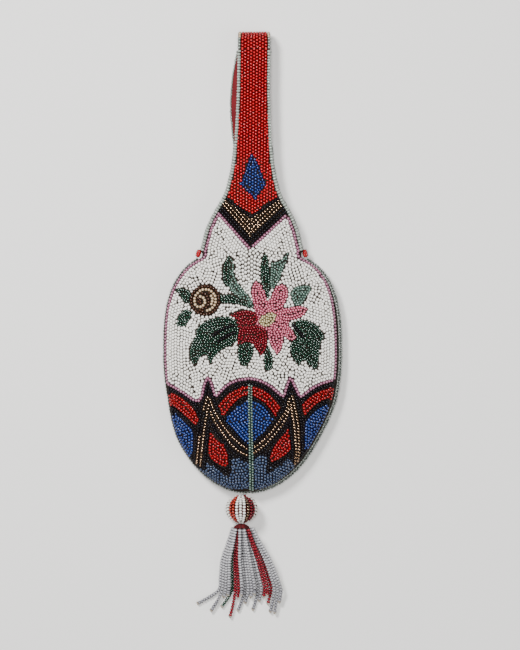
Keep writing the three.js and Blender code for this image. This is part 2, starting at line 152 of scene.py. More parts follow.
# Finishes: base colour, a second tint for the bead-to-bead change, painted highlight colour for each bead's
# top, roughness, gloss, coat, metal
finishes = {
    "white": ((0.80, 0.77, 0.715), (0.64, 0.60, 0.54), (0.95, 0.93, 0.885), 0.26, 0.4, 0.1, 0.0),
    # fringeWhite: the same white beads, darkened all over as painted shade
    "fringeWhite": ((0.19, 0.185, 0.20), (0.12, 0.115, 0.13), (0.49, 0.485, 0.50), 0.28, 0.4, 0.1, 0.0),
    "pink": ((0.36, 0.050, 0.092), (0.24, 0.022, 0.050), (0.66, 0.22, 0.29), 0.2, 0.3, 0.1, 0.0),
    "rosePink": ((0.225, 0.072, 0.125), (0.14, 0.036, 0.078), (0.38, 0.17, 0.25), 0.22, 0.3, 0.1, 0.0),
    "red": ((0.225, 0.0008, 0.0022), (0.155, 0.0005, 0.0014), (0.55, 0.010, 0.017), 0.16, 0.3, 0.05, 0.0),
    "deepRed": ((0.145, 0.0006, 0.0012), (0.095, 0.0004, 0.0008), (0.37, 0.006, 0.009), 0.16, 0.3, 0.05, 0.0),
    "orangeRed": ((0.24, 0.012, 0.005), (0.17, 0.005, 0.002), (0.52, 0.052, 0.020), 0.18, 0.25, 0.05, 0.0),
    "darkRed": ((0.095, 0.002, 0.0045), (0.052, 0.001, 0.002), (0.225, 0.015, 0.026), 0.14, 0.2, 0.05, 0.0),
    "black": ((0.002, 0.0016, 0.0022), (0.004, 0.003, 0.004), (0.014, 0.012, 0.015), 0.1, 0.1, 0.0, 0.0),
    "bronze": ((0.085, 0.046, 0.025), (0.022, 0.009, 0.005), (0.48, 0.31, 0.19), 0.13, 0.4, 0.1, 0.9),
    "cream": ((0.36, 0.25, 0.145), (0.24, 0.15, 0.08), (0.62, 0.48, 0.33), 0.2, 0.35, 0.1, 0.0),
    "straw": ((0.30, 0.235, 0.115), (0.20, 0.14, 0.06), (0.56, 0.48, 0.28), 0.2, 0.35, 0.1, 0.0),
    "brown": ((0.016, 0.0045, 0.0022), (0.026, 0.009, 0.0035), (0.060, 0.024, 0.013), 0.14, 0.25, 0.0, 0.0),
    "navy": ((0.004, 0.007, 0.045), (0.0015, 0.0025, 0.025), (0.028, 0.045, 0.17), 0.08, 0.2, 0.1, 0.0),
    "cobalt": ((0.0040, 0.011, 0.067), (0.0015, 0.004, 0.032), (0.030, 0.068, 0.27), 0.08, 0.3, 0.1, 0.0),
    "steel": ((0.010, 0.017, 0.040), (0.018, 0.028, 0.052), (0.058, 0.082, 0.150), 0.08, 0.3, 0.15, 0.0),
    "teal": ((0.125, 0.145, 0.126), (0.068, 0.084, 0.072), (0.32, 0.35, 0.31), 0.1, 0.4, 0.2, 0.0),
    "seaGreen": ((0.050, 0.090, 0.068), (0.026, 0.054, 0.039), (0.19, 0.265, 0.225), 0.1, 0.4, 0.2, 0.0),
    "paleGreen": ((0.030, 0.064, 0.048), (0.052, 0.086, 0.068), (0.145, 0.215, 0.18), 0.1, 0.35, 0.2, 0.0),
    "darkGreen": ((0.0004, 0.0065, 0.003), (0.0012, 0.012, 0.0065), (0.011, 0.056, 0.03), 0.06, 0.8, 0.3,
                  0.0),
}
# Each bead is darkened towards its sides as painted shade and lightened on its top as a painted highlight
beadSurface = {
    "uneven": (1500.0, 0.0), "bump": (0.5, 0.00004), "ior": 1.52, "edge": (0.2, 0.76), "paintedShadeTone": 0.2,
    "paintedHighlight": (0.68, 0.95), "paintedHighlightTone": 0.85, "fringeShadeTint": (0.5, 0.5, 0.53, 1),
    # The fringe's lower ends are darkened towards the bottom as painted shade
    "fringeShadeRange": {"From Min": -0.098, "From Max": -0.114, "To Min": 0.0, "To Max": 1.0},
}
weaveSurface = {
    "waveWidth": 6.3, "wave": {"Distortion": 1.2, "Detail Scale": 2.0}, "wear": (90.0, 4.0),
    "worn": (0.3, 0.7), "bump": (0.6, 0.0001), "gloss": 0.15,
}
threadSurface = {
    "pitch": 0.003, "distortion": 0.6, "shaded": (0.2, 0.8), "bump": (0.5, 0.00008),
    "levels": {"Roughness": 0.75, "Specular IOR Level": 0.2},
}


# A material and the nodes that feed its shader
class Shading:
    def __init__(self, name):
        self.material = bpy.data.materials.new(name)
        self.material.use_nodes = True
        self.shader = self.material.node_tree.nodes["Principled BSDF"]

    # Each input takes a value or another node's output
    def feed(self, node, inputs):
        for socket, value in inputs.items():
            if isinstance(value, bpy.types.NodeSocket):
                self.material.node_tree.links.new(value, node.inputs[socket])
            else:
                node.inputs[socket].default_value = value

    def add(self, kind, inputs):
        node = self.material.node_tree.nodes.new("ShaderNode" + kind)
        self.feed(node, inputs)
        return node

    def place(self):
        return self.add("TexCoord", {}).outputs["Object"]

    def noise(self, scale, detail):
        return self.add("TexNoise", {"Vector": self.place(), "Scale": scale, "Detail": detail}).outputs["Fac"]

    def wave(self, direction, inputs):
        node = self.add("TexWave", inputs)
        node.bands_direction = direction
        return node.outputs["Fac"]

    def twoTone(self, factor, low, high, start, stop):
        ramp = self.add("ValToRGB", {"Fac": factor})
        for element, at, tone in zip(ramp.color_ramp.elements, (start, stop), (low, high)):
            element.position = at
            element.color = (*tone, 1)
        return ramp.outputs["Color"]

    def bump(self, height, strength, distance):
        node = self.add("Bump", {"Height": height, "Strength": strength, "Distance": distance})
        self.feed(self.shader, {"Normal": node.outputs["Normal"]})

    def attribute(self, name):
        node = self.add("Attribute", {})
        node.attribute_name = name
        return node.outputs["Fac"]

    def blend(self, kind, factor, below, above):
        node = self.add("MixRGB", {"Fac": factor, "Color1": below, "Color2": above})
        node.blend_type = kind
        return node.outputs["Color"]


# Each bead is darker towards its sides as painted shade and lightest on its top as a painted highlight, both
# following how far each point faces up; each bead has a tone of its own
def beadMaterial(colour):
    base, second, paintedHighlight, roughness, gloss, coat, metal = finishes[colour]
    look = Shading(colour + "Beads")
    crown = look.attribute("crown")
    own = look.blend("MIX", look.attribute("tone"), (*second, 1), (*base, 1))
    edge = look.twoTone(crown, (beadSurface["paintedShadeTone"],) * 3, (1, 1, 1), *beadSurface["edge"])
    top = look.twoTone(crown, (0, 0, 0), (beadSurface["paintedHighlightTone"],) * 3, *beadSurface["paintedHighlight"])
    glassAndPaintedLight = look.blend("MIX", top, look.blend("MULTIPLY", 1.0, own, edge), (*paintedHighlight, 1))
    if colour == "fringeWhite":  # the fringe's lower ends are darkened towards the bottom: painted shade
        split = look.add("SeparateXYZ", {"Vector": look.place()})
        down = look.add("MapRange", {"Value": split.outputs["Y"], **beadSurface["fringeShadeRange"]})
        glassAndPaintedLight = look.blend("MULTIPLY", down.outputs["Result"], glassAndPaintedLight, beadSurface["fringeShadeTint"])
    look.bump(look.noise(*beadSurface["uneven"]), *beadSurface["bump"])
    look.feed(look.shader, {
        "Base Color": glassAndPaintedLight, "Roughness": roughness, "Metallic": metal, "Specular IOR Level": gloss,
        "Coat Weight": coat, "Coat Roughness": roughness / 2, "IOR": beadSurface["ior"],
    })
    return look.material


beadMaterials = {colour: beadMaterial(colour) for colour in finishes}


def woven(name, colour, shade, threadsPerMetre, roughness, sheen):
    look = Shading(name)
    scale = threadsPerMetre / weaveSurface["waveWidth"]
    inputs = {"Vector": look.place(), "Scale": scale, **weaveSurface["wave"]}
    weave = look.add("Math", {k: look.wave(direction, inputs) for k, direction in enumerate("XY")})
    weave.operation = "MULTIPLY"
    tint = look.twoTone(look.noise(*weaveSurface["wear"]), shade, colour, *weaveSurface["worn"])
    look.bump(weave.outputs["Value"], *weaveSurface["bump"])
    look.feed(look.shader, {"Base Color": tint, "Roughness": roughness, "Sheen Weight": sheen,
                            "Specular IOR Level": weaveSurface["gloss"]})
    return look.material


# The ground cloth is real and dark; its near-black colour also paints the shade in the gaps between beads.
# The strap cloth's dark red paints the red light that the red glass beads cast into the gaps.
groundCloth = woven("groundCloth", (0.022, 0.014, 0.010), (0.010, 0.007, 0.005), 1300.0, 0.95, 0.0)
strapCloth = woven("strapCloth", (0.060, 0.003, 0.003), (0.035, 0.002, 0.002), 1300.0, 0.95, 0.0)
liningCloth = woven("liningCloth", (0.15, 0.006, 0.010), (0.09, 0.004, 0.007), 1700.0, 0.7, 0.05)


# The grooves between the plies are darker: painted shade
def threadMaterial(name, colour, shade):
    look = Shading(name)
    ply = look.wave("DIAGONAL", {"Vector": look.place(), "Scale": 1 / threadSurface["pitch"],
                                 "Distortion": threadSurface["distortion"]})
    look.bump(ply, *threadSurface["bump"])
    tint = look.twoTone(ply, shade, colour, *threadSurface["shaded"])
    look.feed(look.shader, {"Base Color": tint, **threadSurface["levels"]})
    return look.material


paleThread = threadMaterial("paleThread", (0.42, 0.38, 0.32), (0.24, 0.20, 0.16))
redThread = threadMaterial("redThread", (0.085, 0.003, 0.005), (0.035, 0.001, 0.002))
stainedWood = woven("stainedWood", (0.18, 0.008, 0.008), (0.10, 0.004, 0.004), 400.0, 0.6, 0.0)
print("finishes made")

# A seed bead: a short fat tube with rounded shoulders, its hole along X
beadForm = {
    "length": 1.5, "across": 1.8, "sides": 8,
    "profile": [(-0.5, 0.38), (-0.38, 0.78), (-0.14, 0.99), (0.14, 0.99), (0.38, 0.78), (0.5, 0.38)],
}


def wobble(amount):
    return Vector([chance.gauss(0, amount) for _ in range(3)])


def meshOf(name, made):
    mesh = bpy.data.meshes.new(name)
    made.to_mesh(mesh)
    made.free()
    return mesh


def wholeTurn(made, geom, axis, steps):
    bmesh.ops.spin(made, geom=geom, cent=(0, 0, 0), axis=axis, dvec=(0, 0, 0), angle=2 * math.pi, steps=steps,
                   use_merge=True)


# A line of points turned round an axis, its two ends closed
def turned(made, profile, axis, steps):
    rim = [made.verts.new(spot) for spot in profile]
    edges = [made.edges.new(pair) for pair in zip(rim, rim[1:])]
    wholeTurn(made, rim + edges, axis, steps)
    bmesh.ops.holes_fill(made, edges=[edge for edge in made.edges if edge.is_boundary], sides=0)


def beadMesh(length, across):
    made = bmesh.new()
    profile = [(length * mm * at, 0, across * mm / 2 * share) for at, share in beadForm["profile"]]
    turned(made, profile, (1, 0, 0), beadForm["sides"])
    bmesh.ops.recalc_face_normals(made, faces=made.faces[:])
    return meshOf("beadPattern", made)


def addPiece(name, made, material):
    mesh = meshOf(name, made)
    mesh.shade_smooth()
    mesh.materials.append(material)
    piece = bpy.data.objects.new(name, mesh)
    scene.collection.objects.link(piece)
    return piece


# Beads at seats, each (middle in millimetres, hole direction, outward direction, size share)
def beadPiece(name, seats, colour, length=beadForm["length"], across=beadForm["across"], around=0.0):
    one = beadMesh(length, across)
    rest = np.empty(3 * len(one.vertices), np.float32)
    one.vertices.foreach_get("co", rest)
    _, wide, high = rest.reshape(-1, 3).T / (across * mm / 2)
    made = bmesh.new()
    crowns, tones = [], []
    for place, along, outward, share in seats:
        along = along.normalized()
        sideways = outward.cross(along).normalized()
        up = along.cross(sideways)
        angle = chance.uniform(0, math.pi / 4)
        roll = Matrix.Rotation(angle, 4, "X")
        turn = Matrix((along, sideways, up)).transposed().to_4x4() @ roll
        # How far each point faces out, mixed by around with its share of the full radius: the bead material
        # paints shade and a highlight from it
        facing = wide * math.sin(angle) + high * math.cos(angle)
        crowns.append((1 - around) * facing + around * np.hypot(wide, high))
        tones.append(np.full(len(wide), chance.random()))
        one.vertices.foreach_set("co", rest)
        one.transform(Matrix.Translation(place * mm) @ turn @ Matrix.Scale(share, 4))
        made.from_mesh(one)
    bpy.data.meshes.remove(one)
    piece = addPiece(name, made, beadMaterials[colour])
    for label, values in (("crown", crowns), ("tone", tones)):
        layer = piece.data.attributes.new(label, "FLOAT", "POINT")
        layer.data.foreach_set("value", np.concatenate(values).astype(np.float32))
    return piece


# Where beads sit: each one's own pitch, how deep its middle lies, and the grids that they are laid on
seat = {
    "along": 1.55, "across": 1.84, "depth": 0.93, "cell": 2.5, "heightStep": 0.5, "labelStep": 0.25,
    "touching": 0.74, "rowMargin": 0.75, "tipMargin": 0.6, "far": 4.0, "levelShare": 0.45, "turnBack": -0.2,
    "stray": 0.35, "plugSize": 0.78, "plugSunk": 0.35,
}
field = {"left": -48.0, "right": 48.1, "low": -62.0, "above": 4}
tiny = 1e-6


def fieldAxes(step):
    xs = np.arange(field["left"], field["right"], step)
    return xs, np.arange(field["low"], strapTop + field["above"], step)


# One beaded face: where its beads lie, and how close the next may come
class BeadedFace:
    def __init__(self, side):
        self.side = side
        xs, ys = fieldAxes(seat["heightStep"])
        self.heights = faceHeight(side, *np.meshgrid(xs, ys)).tolist()
        self.halves = sheetHalf(ys).tolist()
        self.beads = []
        self.cells = {}

    def height(self, x, y):
        step = seat["heightStep"]
        column = min(max((x - field["left"]) / step, 0), len(self.heights[0]) - 1.001)
        row = min(max((y - field["low"]) / step, 0), len(self.heights) - 1.001)
        i, j = int(row), int(column)
        v, u = row - i, column - j
        upper, lower = self.heights[i + 1], self.heights[i]
        near = lower[j] * (1 - u) + lower[j + 1] * u
        return near * (1 - v) + (upper[j] * (1 - u) + upper[j + 1] * u) * v

    # How far a place lies inside the cloth's own edge
    def margin(self, x, y):
        row = min(max((y - field["low"]) / seat["heightStep"], 0), len(self.halves) - 1.001)
        i = int(row)
        return self.halves[i] + (self.halves[i + 1] - self.halves[i]) * (row - i) - abs(x)

    # Distance to the nearest bead, where 1 is touching
    def room(self, x, y, heading, skip=()):
        z = self.height(x, y)
        c, s = heading
        nearest = seat["far"]
        across2, along2 = 1 / seat["across"] ** 2, 1 / seat["along"] ** 2
        column, row = int(x // seat["cell"]), int(y // seat["cell"])
        for i in (column - 1, column, column + 1):
            for j in (row - 1, row, row + 1):
                for index in self.cells.get((i, j), ()):
                    if index in skip:
                        continue
                    bx, by, bz, bc, bs = self.beads[index][:5]
                    dx, dy, dz = bx - x, by - y, bz - z
                    flat = dx * dx + dy * dy + 1e-9
                    mine = (dx * c + dy * s) ** 2 / flat
                    other = (dx * bc + dy * bs) ** 2 / flat
                    share = (mine + other) / 2
                    nearest = min(nearest, (flat + dz * dz) * (share * along2 + (1 - share) * across2))
        return math.sqrt(nearest)

    def put(self, x, y, heading, colour, size=1.0, sunk=0.0):
        index = len(self.beads)
        shown = colour(x, y) if callable(colour) else colour
        self.beads.append((x, y, self.height(x, y), *heading, shown, size, sunk))
        self.cells.setdefault((int(x // seat["cell"]), int(y // seat["cell"])), []).append(index)
        return index

    # A row of beads along a line, each placed where there is room
    def row(self, line, colour, tight=seat["touching"], pitch=seat["along"], margin=seat["rowMargin"]):
        due = pitch / 2
        last = ()
        for (ax, ay), (bx, by) in zip(line, line[1:]):
            flat = math.hypot(bx - ax, by - ay)
            if flat < tiny:
                continue
            heading = ((bx - ax) / flat, (by - ay) / flat)
            length = math.sqrt(flat ** 2 + (self.height(bx, by) - self.height(ax, ay)) ** 2)
            gone = 0.0
            while gone + due <= length:
                gone += due
                due = pitch
                share = gone / length
                x, y = ax + (bx - ax) * share, ay + (by - ay) * share
                inside = self.margin(x, y) > margin and y > bodyFoot + seat["tipMargin"]
                if inside and self.room(x, y, heading, last) > tight:
                    last = (self.put(x, y, heading, colour),)
            due -= length - gone

    # Rows that run alongside the guide lines, one outside another, until the zone is full
    def fill(self, labels, zone, guides, colour, tight=0.86, plug=0.64, size=1.0):
        rows, columns = np.nonzero(labels.grid[::2, ::2] == zone)
        if not len(rows):
            return
        step = seat["labelStep"] * 2
        xs, ys = field["left"] + columns * step, field["low"] + rows * step
        levels = np.full(len(xs), 1e9)
        for (ax, ay), (dx, dy), size2 in zip(guides.start, guides.run, guides.size2):
            share = np.clip(((xs - ax) * dx + (ys - ay) * dy) / size2, 0, 1)
            levels = np.minimum(levels, np.hypot(xs - ax - share * dx, ys - ay - share * dy))
        order = np.argsort(levels, kind="stable")
        for limit, single in ((tight * size, False), (plug * size, True)):
            for k in order:
                x, y, level = float(xs[k]), float(ys[k]), float(levels[k])
                if not single and level < seat["across"] * seat["levelShare"] * size:
                    continue
                heading = guides.heading(x, y)
                if heading and self.room(x, y, heading) > limit:
                    if single:
                        self.put(x, y, heading, colour, seat["plugSize"] * size, seat["plugSunk"])
                        continue
                    start = self.put(x, y, heading, colour, size)
                    for sense in (1, -1):
                        self.march(labels, zone, guides, colour, x, y, level, sense, start, limit, size)

    def march(self, labels, zone, guides, colour, x, y, level, sense, last, limit, size):
        before = None
        while True:
            heading = guides.heading(x, y)
            if not heading:
                return
            hx, hy = heading[0] * sense, heading[1] * sense
            if before and hx * before[0] + hy * before[1] < seat["turnBack"]:
                return
            slope = self.height(x + hx, y + hy) - self.height(x, y)
            step = seat["along"] * size / math.sqrt(1 + slope * slope)
            nx, ny = x + hx * step, y + hy * step
            foot, away = guides.nearest(nx, ny)
            if away < tiny:
                return
            nx, ny = foot[0] + (nx - foot[0]) / away * level, foot[1] + (ny - foot[1]) / away * level
            moved = math.hypot(nx - x, ny - y)
            if abs(moved - step) > seat["stray"] * step or labels.at(nx, ny) != zone:
                return
            turned = ((nx - x) / moved, (ny - y) / moved)
            if self.room(nx, ny, turned, (last,)) < limit:
                return
            last = self.put(nx, ny, turned, colour, size)
            x, y, before = nx, ny, (hx, hy)


# Guide lines as one table of straight runs
class Guides:
    def __init__(self, lines):
        starts, runs = [], []
        for line in lines:
            points = np.asarray(line, float)
            starts.append(points[:-1])
            runs.append(points[1:] - points[:-1])
        self.start = np.concatenate(starts)
        self.run = np.concatenate(runs)
        self.size2 = np.maximum((self.run ** 2).sum(1), 1e-9)

    def nearest(self, x, y):
        away = np.array((x, y)) - self.start
        share = np.clip((away * self.run).sum(1) / self.size2, 0, 1)
        gap = away - share[:, None] * self.run
        distances = (gap ** 2).sum(1)
        k = int(np.argmin(distances))
        return (x - float(gap[k, 0]), y - float(gap[k, 1])), math.sqrt(float(distances[k]))

    def heading(self, x, y):
        foot, away = self.nearest(x, y)
        if away < tiny:
            return None
        return (-(y - foot[1]) / away, (x - foot[0]) / away)


# Zones of the pattern, painted in order on a fine grid
class Labels:
    def __init__(self):
        self.xs, self.ys = fieldAxes(seat["labelStep"])
        self.grid = np.zeros((len(self.ys), len(self.xs)), np.int16)
        self.x, self.y = np.meshgrid(self.xs, self.ys)

    def at(self, x, y):
        j = int(round((x - field["left"]) / seat["labelStep"]))
        i = int(round((y - field["low"]) / seat["labelStep"]))
        inside = 0 <= i < len(self.ys) and 0 <= j < len(self.xs)
        return int(self.grid[i, j]) if inside else 0

    def paint(self, polygon, zone, only=None):
        inside = np.zeros(self.grid.shape, bool)
        for (ax, ay), (bx, by) in zip(polygon, polygon[1:] + polygon[:1]):
            if ay == by:
                continue
            crosses = (ay > self.y) != (by > self.y)
            inside ^= crosses & (self.x < (bx - ax) * (self.y - ay) / (by - ay) + ax)
        if only is not None:
            inside &= self.grid == only
        self.grid[inside] = zone


# The pattern is drawn in half-millimetre steps from the middle of the belly
def drawn(points, side=1):
    return [(side * (x / 2 - middleAt(1, y / 2)), y / 2) for x, y in points]


def rounded(line, times=2):
    for _ in range(times):
        softer = [line[0]]
        for (ax, ay), (bx, by) in zip(line, line[1:]):
            softer.append((ax * 0.75 + bx * 0.25, ay * 0.75 + by * 0.25))
            softer.append((ax * 0.25 + bx * 0.75, ay * 0.25 + by * 0.75))
        softer.append(line[-1])
        line = softer
    return line


flower = {
    "petals": [
        ("pink", [(5, 95), (9, 91), (13, 85), (17, 75), (17, 67), (11, 62), (5, 66), (1, 75), (0, 87)]),
        ("pink", [(25, 89), (32, 92), (38, 85), (36, 75), (31, 67), (23, 64), (19, 69), (20, 79)]),
        ("pink", [(29, 66), (39, 68), (51, 70), (57, 67), (53, 59), (43, 55), (33, 54), (27, 58)]),
        ("pink", [(24, 53), (35, 51), (41, 47), (46, 36), (39, 34), (32, 40), (25, 46)]),
        ("pink", [(17, 50), (24, 52), (32, 44), (33, 34), (30, 24), (25, 21), (20, 29), (16, 40)]),
        ("darkRed", [(-20, 60), (-11, 65), (1, 65), (7, 60), (7, 53), (-1, 49), (-11, 53)]),
        ("darkRed", [(-11, 50), (-1, 48), (7, 50), (15, 47), (17, 35), (15, 25), (10, 19), (5, 27),
                     (-1, 34), (-14, 30), (-13, 40)]),
    ],
    "between": [
        ("pink", [(2, 76), (10, 68), (19, 76), (25, 70), (33, 70), (30, 60), (38, 53), (33, 44), (24, 44),
                  (15, 44), (5, 50), (5, 62)]),
        ("darkRed", [(-14, 53), (7, 58), (9, 46), (-11, 45)]),
    ],
    "heart": [(7, 54), (12, 60), (20, 64), (25, 61), (25, 55), (19, 49), (11, 48)],
}
leaves = [
    ("paleGreen", [(-22, 119), (-18, 113), (-18, 105), (-15, 95), (-8, 87), (-1, 78), (3, 67), (-4, 69),
                   (-13, 78), (-22, 87), (-23, 95), (-22, 107)]),
    ("darkGreen", [(-22, 119), (-27, 113), (-29, 103), (-28, 93), (-23, 87), (-21, 95), (-21, 108)]),
    ("darkGreen", [(-31, 80), (-21, 82), (-11, 76), (-3, 72), (2, 66), (-8, 70), (-20, 72), (-31, 72)]),
    ("darkGreen", [(14, 122), (11, 117), (9, 107), (10, 95), (12, 85), (17, 75), (19, 85), (19, 100),
                   (18, 113), (16, 121)]),
    ("paleGreen", [(20, 113), (26, 113), (32, 117), (37, 123), (37, 119), (33, 107), (29, 95), (25, 89),
                   (19, 85), (19, 100)]),
    ("paleGreen", [(40, 82), (43, 88), (49, 90), (59, 90), (61, 86), (57, 80), (51, 70), (45, 68), (41, 75)]),
    ("darkGreen", [(-78, 88), (-68, 87), (-61, 85), (-60, 78), (-63, 71), (-68, 73), (-72, 81)]),
    ("darkGreen", [(-75, 49), (-74, 57), (-70, 64), (-63, 67), (-59, 61), (-62, 53), (-69, 48)]),
    ("darkGreen", [(-54, 47), (-46, 55), (-31, 59), (-19, 58), (-11, 50), (-11, 37), (-18, 31), (-29, 26),
                   (-37, 18), (-41, 11), (-44, 20), (-48, 21), (-53, 14), (-59, 11), (-62, 20), (-61, 30),
                   (-55, 40)]),
    ("darkGreen", [(-10, 32), (-4, 35), (3, 29), (2, 19), (-4, 9), (-9, 9), (-14, 18), (-13, 28)]),
    ("darkGreen", [(17, 30), (20, 23), (23, 15), (20, 4), (15, 5), (12, 15), (15, 25)]),
    ("darkGreen", [(40, 51), (49, 56), (61, 54), (69, 47), (75, 38), (70, 34), (69, 25), (68, 13), (64, 4),
                   (58, 12), (52, 16), (48, 9), (41, 18), (38, 30), (43, 35), (46, 40)]),
]
veins = [[(-39, 39), (-28, 47), (-16, 50)], [(-34, 33), (-24, 40), (-15, 43)], [(41, 51), (48, 44), (54, 36)]]
bud = {
    "x": -46, "y": 75, "outer": 14.6,
    "turns": [  # colour, across, up, size, start and stop in degrees
        ("brown", 0, 0, 14.2, 0, 360), ("cream", 0, 0, 10.7, -85, 190), ("cream", -5.4, -1.5, 5.3, 0, 360),
        ("brown", -5.4, -1.5, 1.5, 0, 360), ("brown", -5.4, -1.5, 9.1, -50, 65),
        ("cream", 0, 0, 7.4, -45, 50),
    ],
}
chevron = {
    "top": [(-28, 179), (0, 158), (31, 179)], "foot": [(-35, 164), (-1, 126), (39, 163)],
    "rows": ["rosePink", "black", "black", "bronze", "bronze", "bronze", "bronze"], "step": 2.38,
}
kite = [(1, 224), (-11, 190), (4, 176), (16, 190)]
groundFoot = [(-84, -9), (-76, -13), (-66, -19), (-55, -27), (-50, -24), (-47, -10), (-43, -1), (-39, -10),
              (-36, -22), (-32, -18), (-23, -9), (-13, -5), (-1, -3), (11, -6), (21, -12), (29, -19),
              (33, -22), (36, -10), (40, -2), (44, -11), (49, -22), (53, -20), (61, -13), (72, -8), (84, -5)]
borderRows = [
    ("black", [(-84, -14), (-72, -17), (-61, -24), (-53, -32), (-50, -36)]),
    ("black", [(-34, -27), (-25, -17), (-14, -11), (-1, -8), (11, -11), (20, -16), (29, -25), (34, -34)]),
    ("black", [(50, -27), (60, -17), (71, -12), (84, -9)]),
    ("black", [(-84, -31), (-73, -37), (-63, -47), (-56, -56)]),
    ("black", [(54, -46), (61, -36), (71, -28), (84, -24)]),
    ("black", [(-27, -44), (-18, -31), (-8, -23), (1, -22), (11, -27), (19, -36), (24, -43)]),
    ("black", [(-43, -8), (-47, -19), (-50, -33), (-52, -50), (-55, -66), (-57, -86)]),
    ("bronze", [(-43, -21), (-48, -35), (-50, -50), (-52, -65), (-54, -82), (-55, -90)]),
    ("bronze", [(-42, -29), (-45, -42), (-47, -54), (-48, -66), (-50, -80), (-51, -91)]),
    ("black", [(-42, -50), (-44, -66), (-46, -80), (-47, -94)]),
    ("black", [(-40, -18), (-35, -32), (-27, -46), (-18, -57), (-9, -66), (-3, -71)]),
    ("bronze", [(-42, -23), (-37, -36), (-30, -48), (-21, -60), (-12, -68), (-3, -75)]),
    ("bronze", [(-42, -33), (-37, -46), (-29, -57), (-21, -68), (-13, -76), (-4, -80)]),
    ("black", [(-40, -42), (-37, -55), (-28, -67), (-20, -75), (-12, -82), (-3, -86)]),
    ("black", [(41, -8), (45, -20), (48, -35), (51, -50), (52, -65), (52, -80), (51, -88)]),
    ("bronze", [(41, -20), (44, -33), (47, -46), (48, -60), (49, -75), (47, -88)]),
    ("bronze", [(40, -28), (42, -42), (44, -54), (45, -66), (46, -78), (44, -90)]),
    ("black", [(39, -48), (41, -62), (42, -75), (41, -88)]),
    ("black", [(37, -18), (33, -32), (24, -46), (14, -58), (4, -67), (1, -70)]),
    ("bronze", [(39, -22), (36, -35), (28, -47), (20, -58), (11, -67), (2, -73)]),
    ("bronze", [(39, -33), (34, -46), (26, -57), (17, -67), (8, -75), (2, -78)]),
    ("black", [(38, -42), (31, -55), (21, -67), (11, -76), (3, -82)]),
    ("black", [(-44, -84), (-36, -91), (-29, -95), (-22, -101)]),
    ("black", [(-22, -74), (-21, -86), (-22, -99)]),
    ("black", [(41, -80), (32, -87), (24, -92), (18, -98)]),
    ("black", [(18, -77), (18, -88), (17, -97)]),
]
steelZone = [(-48, -87), (-39, -90), (-29, -97), (-23, -100), (-20, -84), (-11, -83), (-4, -88), (4, -84),
             (7, -81), (15, -81), (17, -94), (24, -91), (34, -85), (40, -83), (44, -91), (50, -86),
             (50, -126), (-50, -126)]
borderZones = [
    ("deepRed", [(-84, -16), (-73, -20), (-61, -29), (-53, -39), (-54, -53), (-64, -43), (-74, -34),
                 (-84, -28)]),
    ("deepRed", [(-34, -32), (-25, -20), (-13, -13), (-1, -10), (10, -13), (19, -19), (28, -29), (33, -38),
                 (24, -42), (18, -33), (10, -25), (1, -20), (-9, -21), (-18, -29), (-28, -42)]),
    ("deepRed", [(51, -29), (61, -20), (71, -15), (84, -12), (84, -22), (70, -26), (60, -34), (53, -43)]),
    ("cobalt", [(-86, -34), (-73, -40), (-61, -52), (-57, -57), (-58, -84), (-70, -76), (-84, -56)]),
    ("cobalt", [(-3, -24), (-30, -44), (-24, -52), (-5, -69), (1, -69), (22, -49), (25, -44), (12, -29)]),
    ("cobalt", [(54, -48), (61, -39), (71, -31), (86, -26), (86, -56), (70, -74), (55, -86)]),
    ("deepRed", [(-41, -58), (-23, -74), (-23, -92), (-29, -92), (-43, -83), (-43, -69)]),
    ("deepRed", [(39, -53), (41, -66), (40, -77), (22, -88), (19, -86), (20, -76), (29, -63)]),
]


columnPitch, rowPitch, strapSize = 1.47, 1.60, 0.92
zoneOf = {"ground": 2, "border": 3, "neck": 4, "bud": 9, "motifs": 10, "steel": 49, "fields": 50}
laid = {
    "edgeClear": 0.8, "footClear": 0.7, "beyond": 9, "over": 5, "neckHalf": 30.0, "neckRise": 4,
    "edgeInset": {1: 0.88, -1: 0.4}, "edgeFoot": 0.4, "edgePitch": 1.42, "armReach": 1.3, "armMargin": 1.9,
    "pinkMargin": 2.2, "underBlack": 0.8, "close": 0.8, "pinkInset": (0.95, 1.75), "pinkTurn": (55.0, 64.0),
    "kiteShare": (0.82, 0.88), "columns": 13, "columnFoot": 70.0, "strapMargin": 2.1, "overChevron": 0.6,
    "neckPlug": 0.66, "blackRows": 2.6, "budTight": 0.72, "budPlug": 0.74, "motifSize": 0.88,
    "whiteTight": 0.9, "rimInset": 0.95, "rimFoot": 0.3, "rimTop": 2, "rimLook": (1.2, 0.6),
}


def edgeLine(side, inset, low, high, steps):
    return [(side * (float(sheetHalf(y)) - (inset(y) if callable(inset) else inset)), float(y))
            for y in np.linspace(low, high, steps)]


def pinkInset(y):
    least, more = laid["pinkInset"]
    return least + more * float(eased(y, *laid["pinkTurn"]))


def closed(points):
    return points + points[:1]


def heightOn(line, x):
    return float(np.interp(x, *zip(*line)))


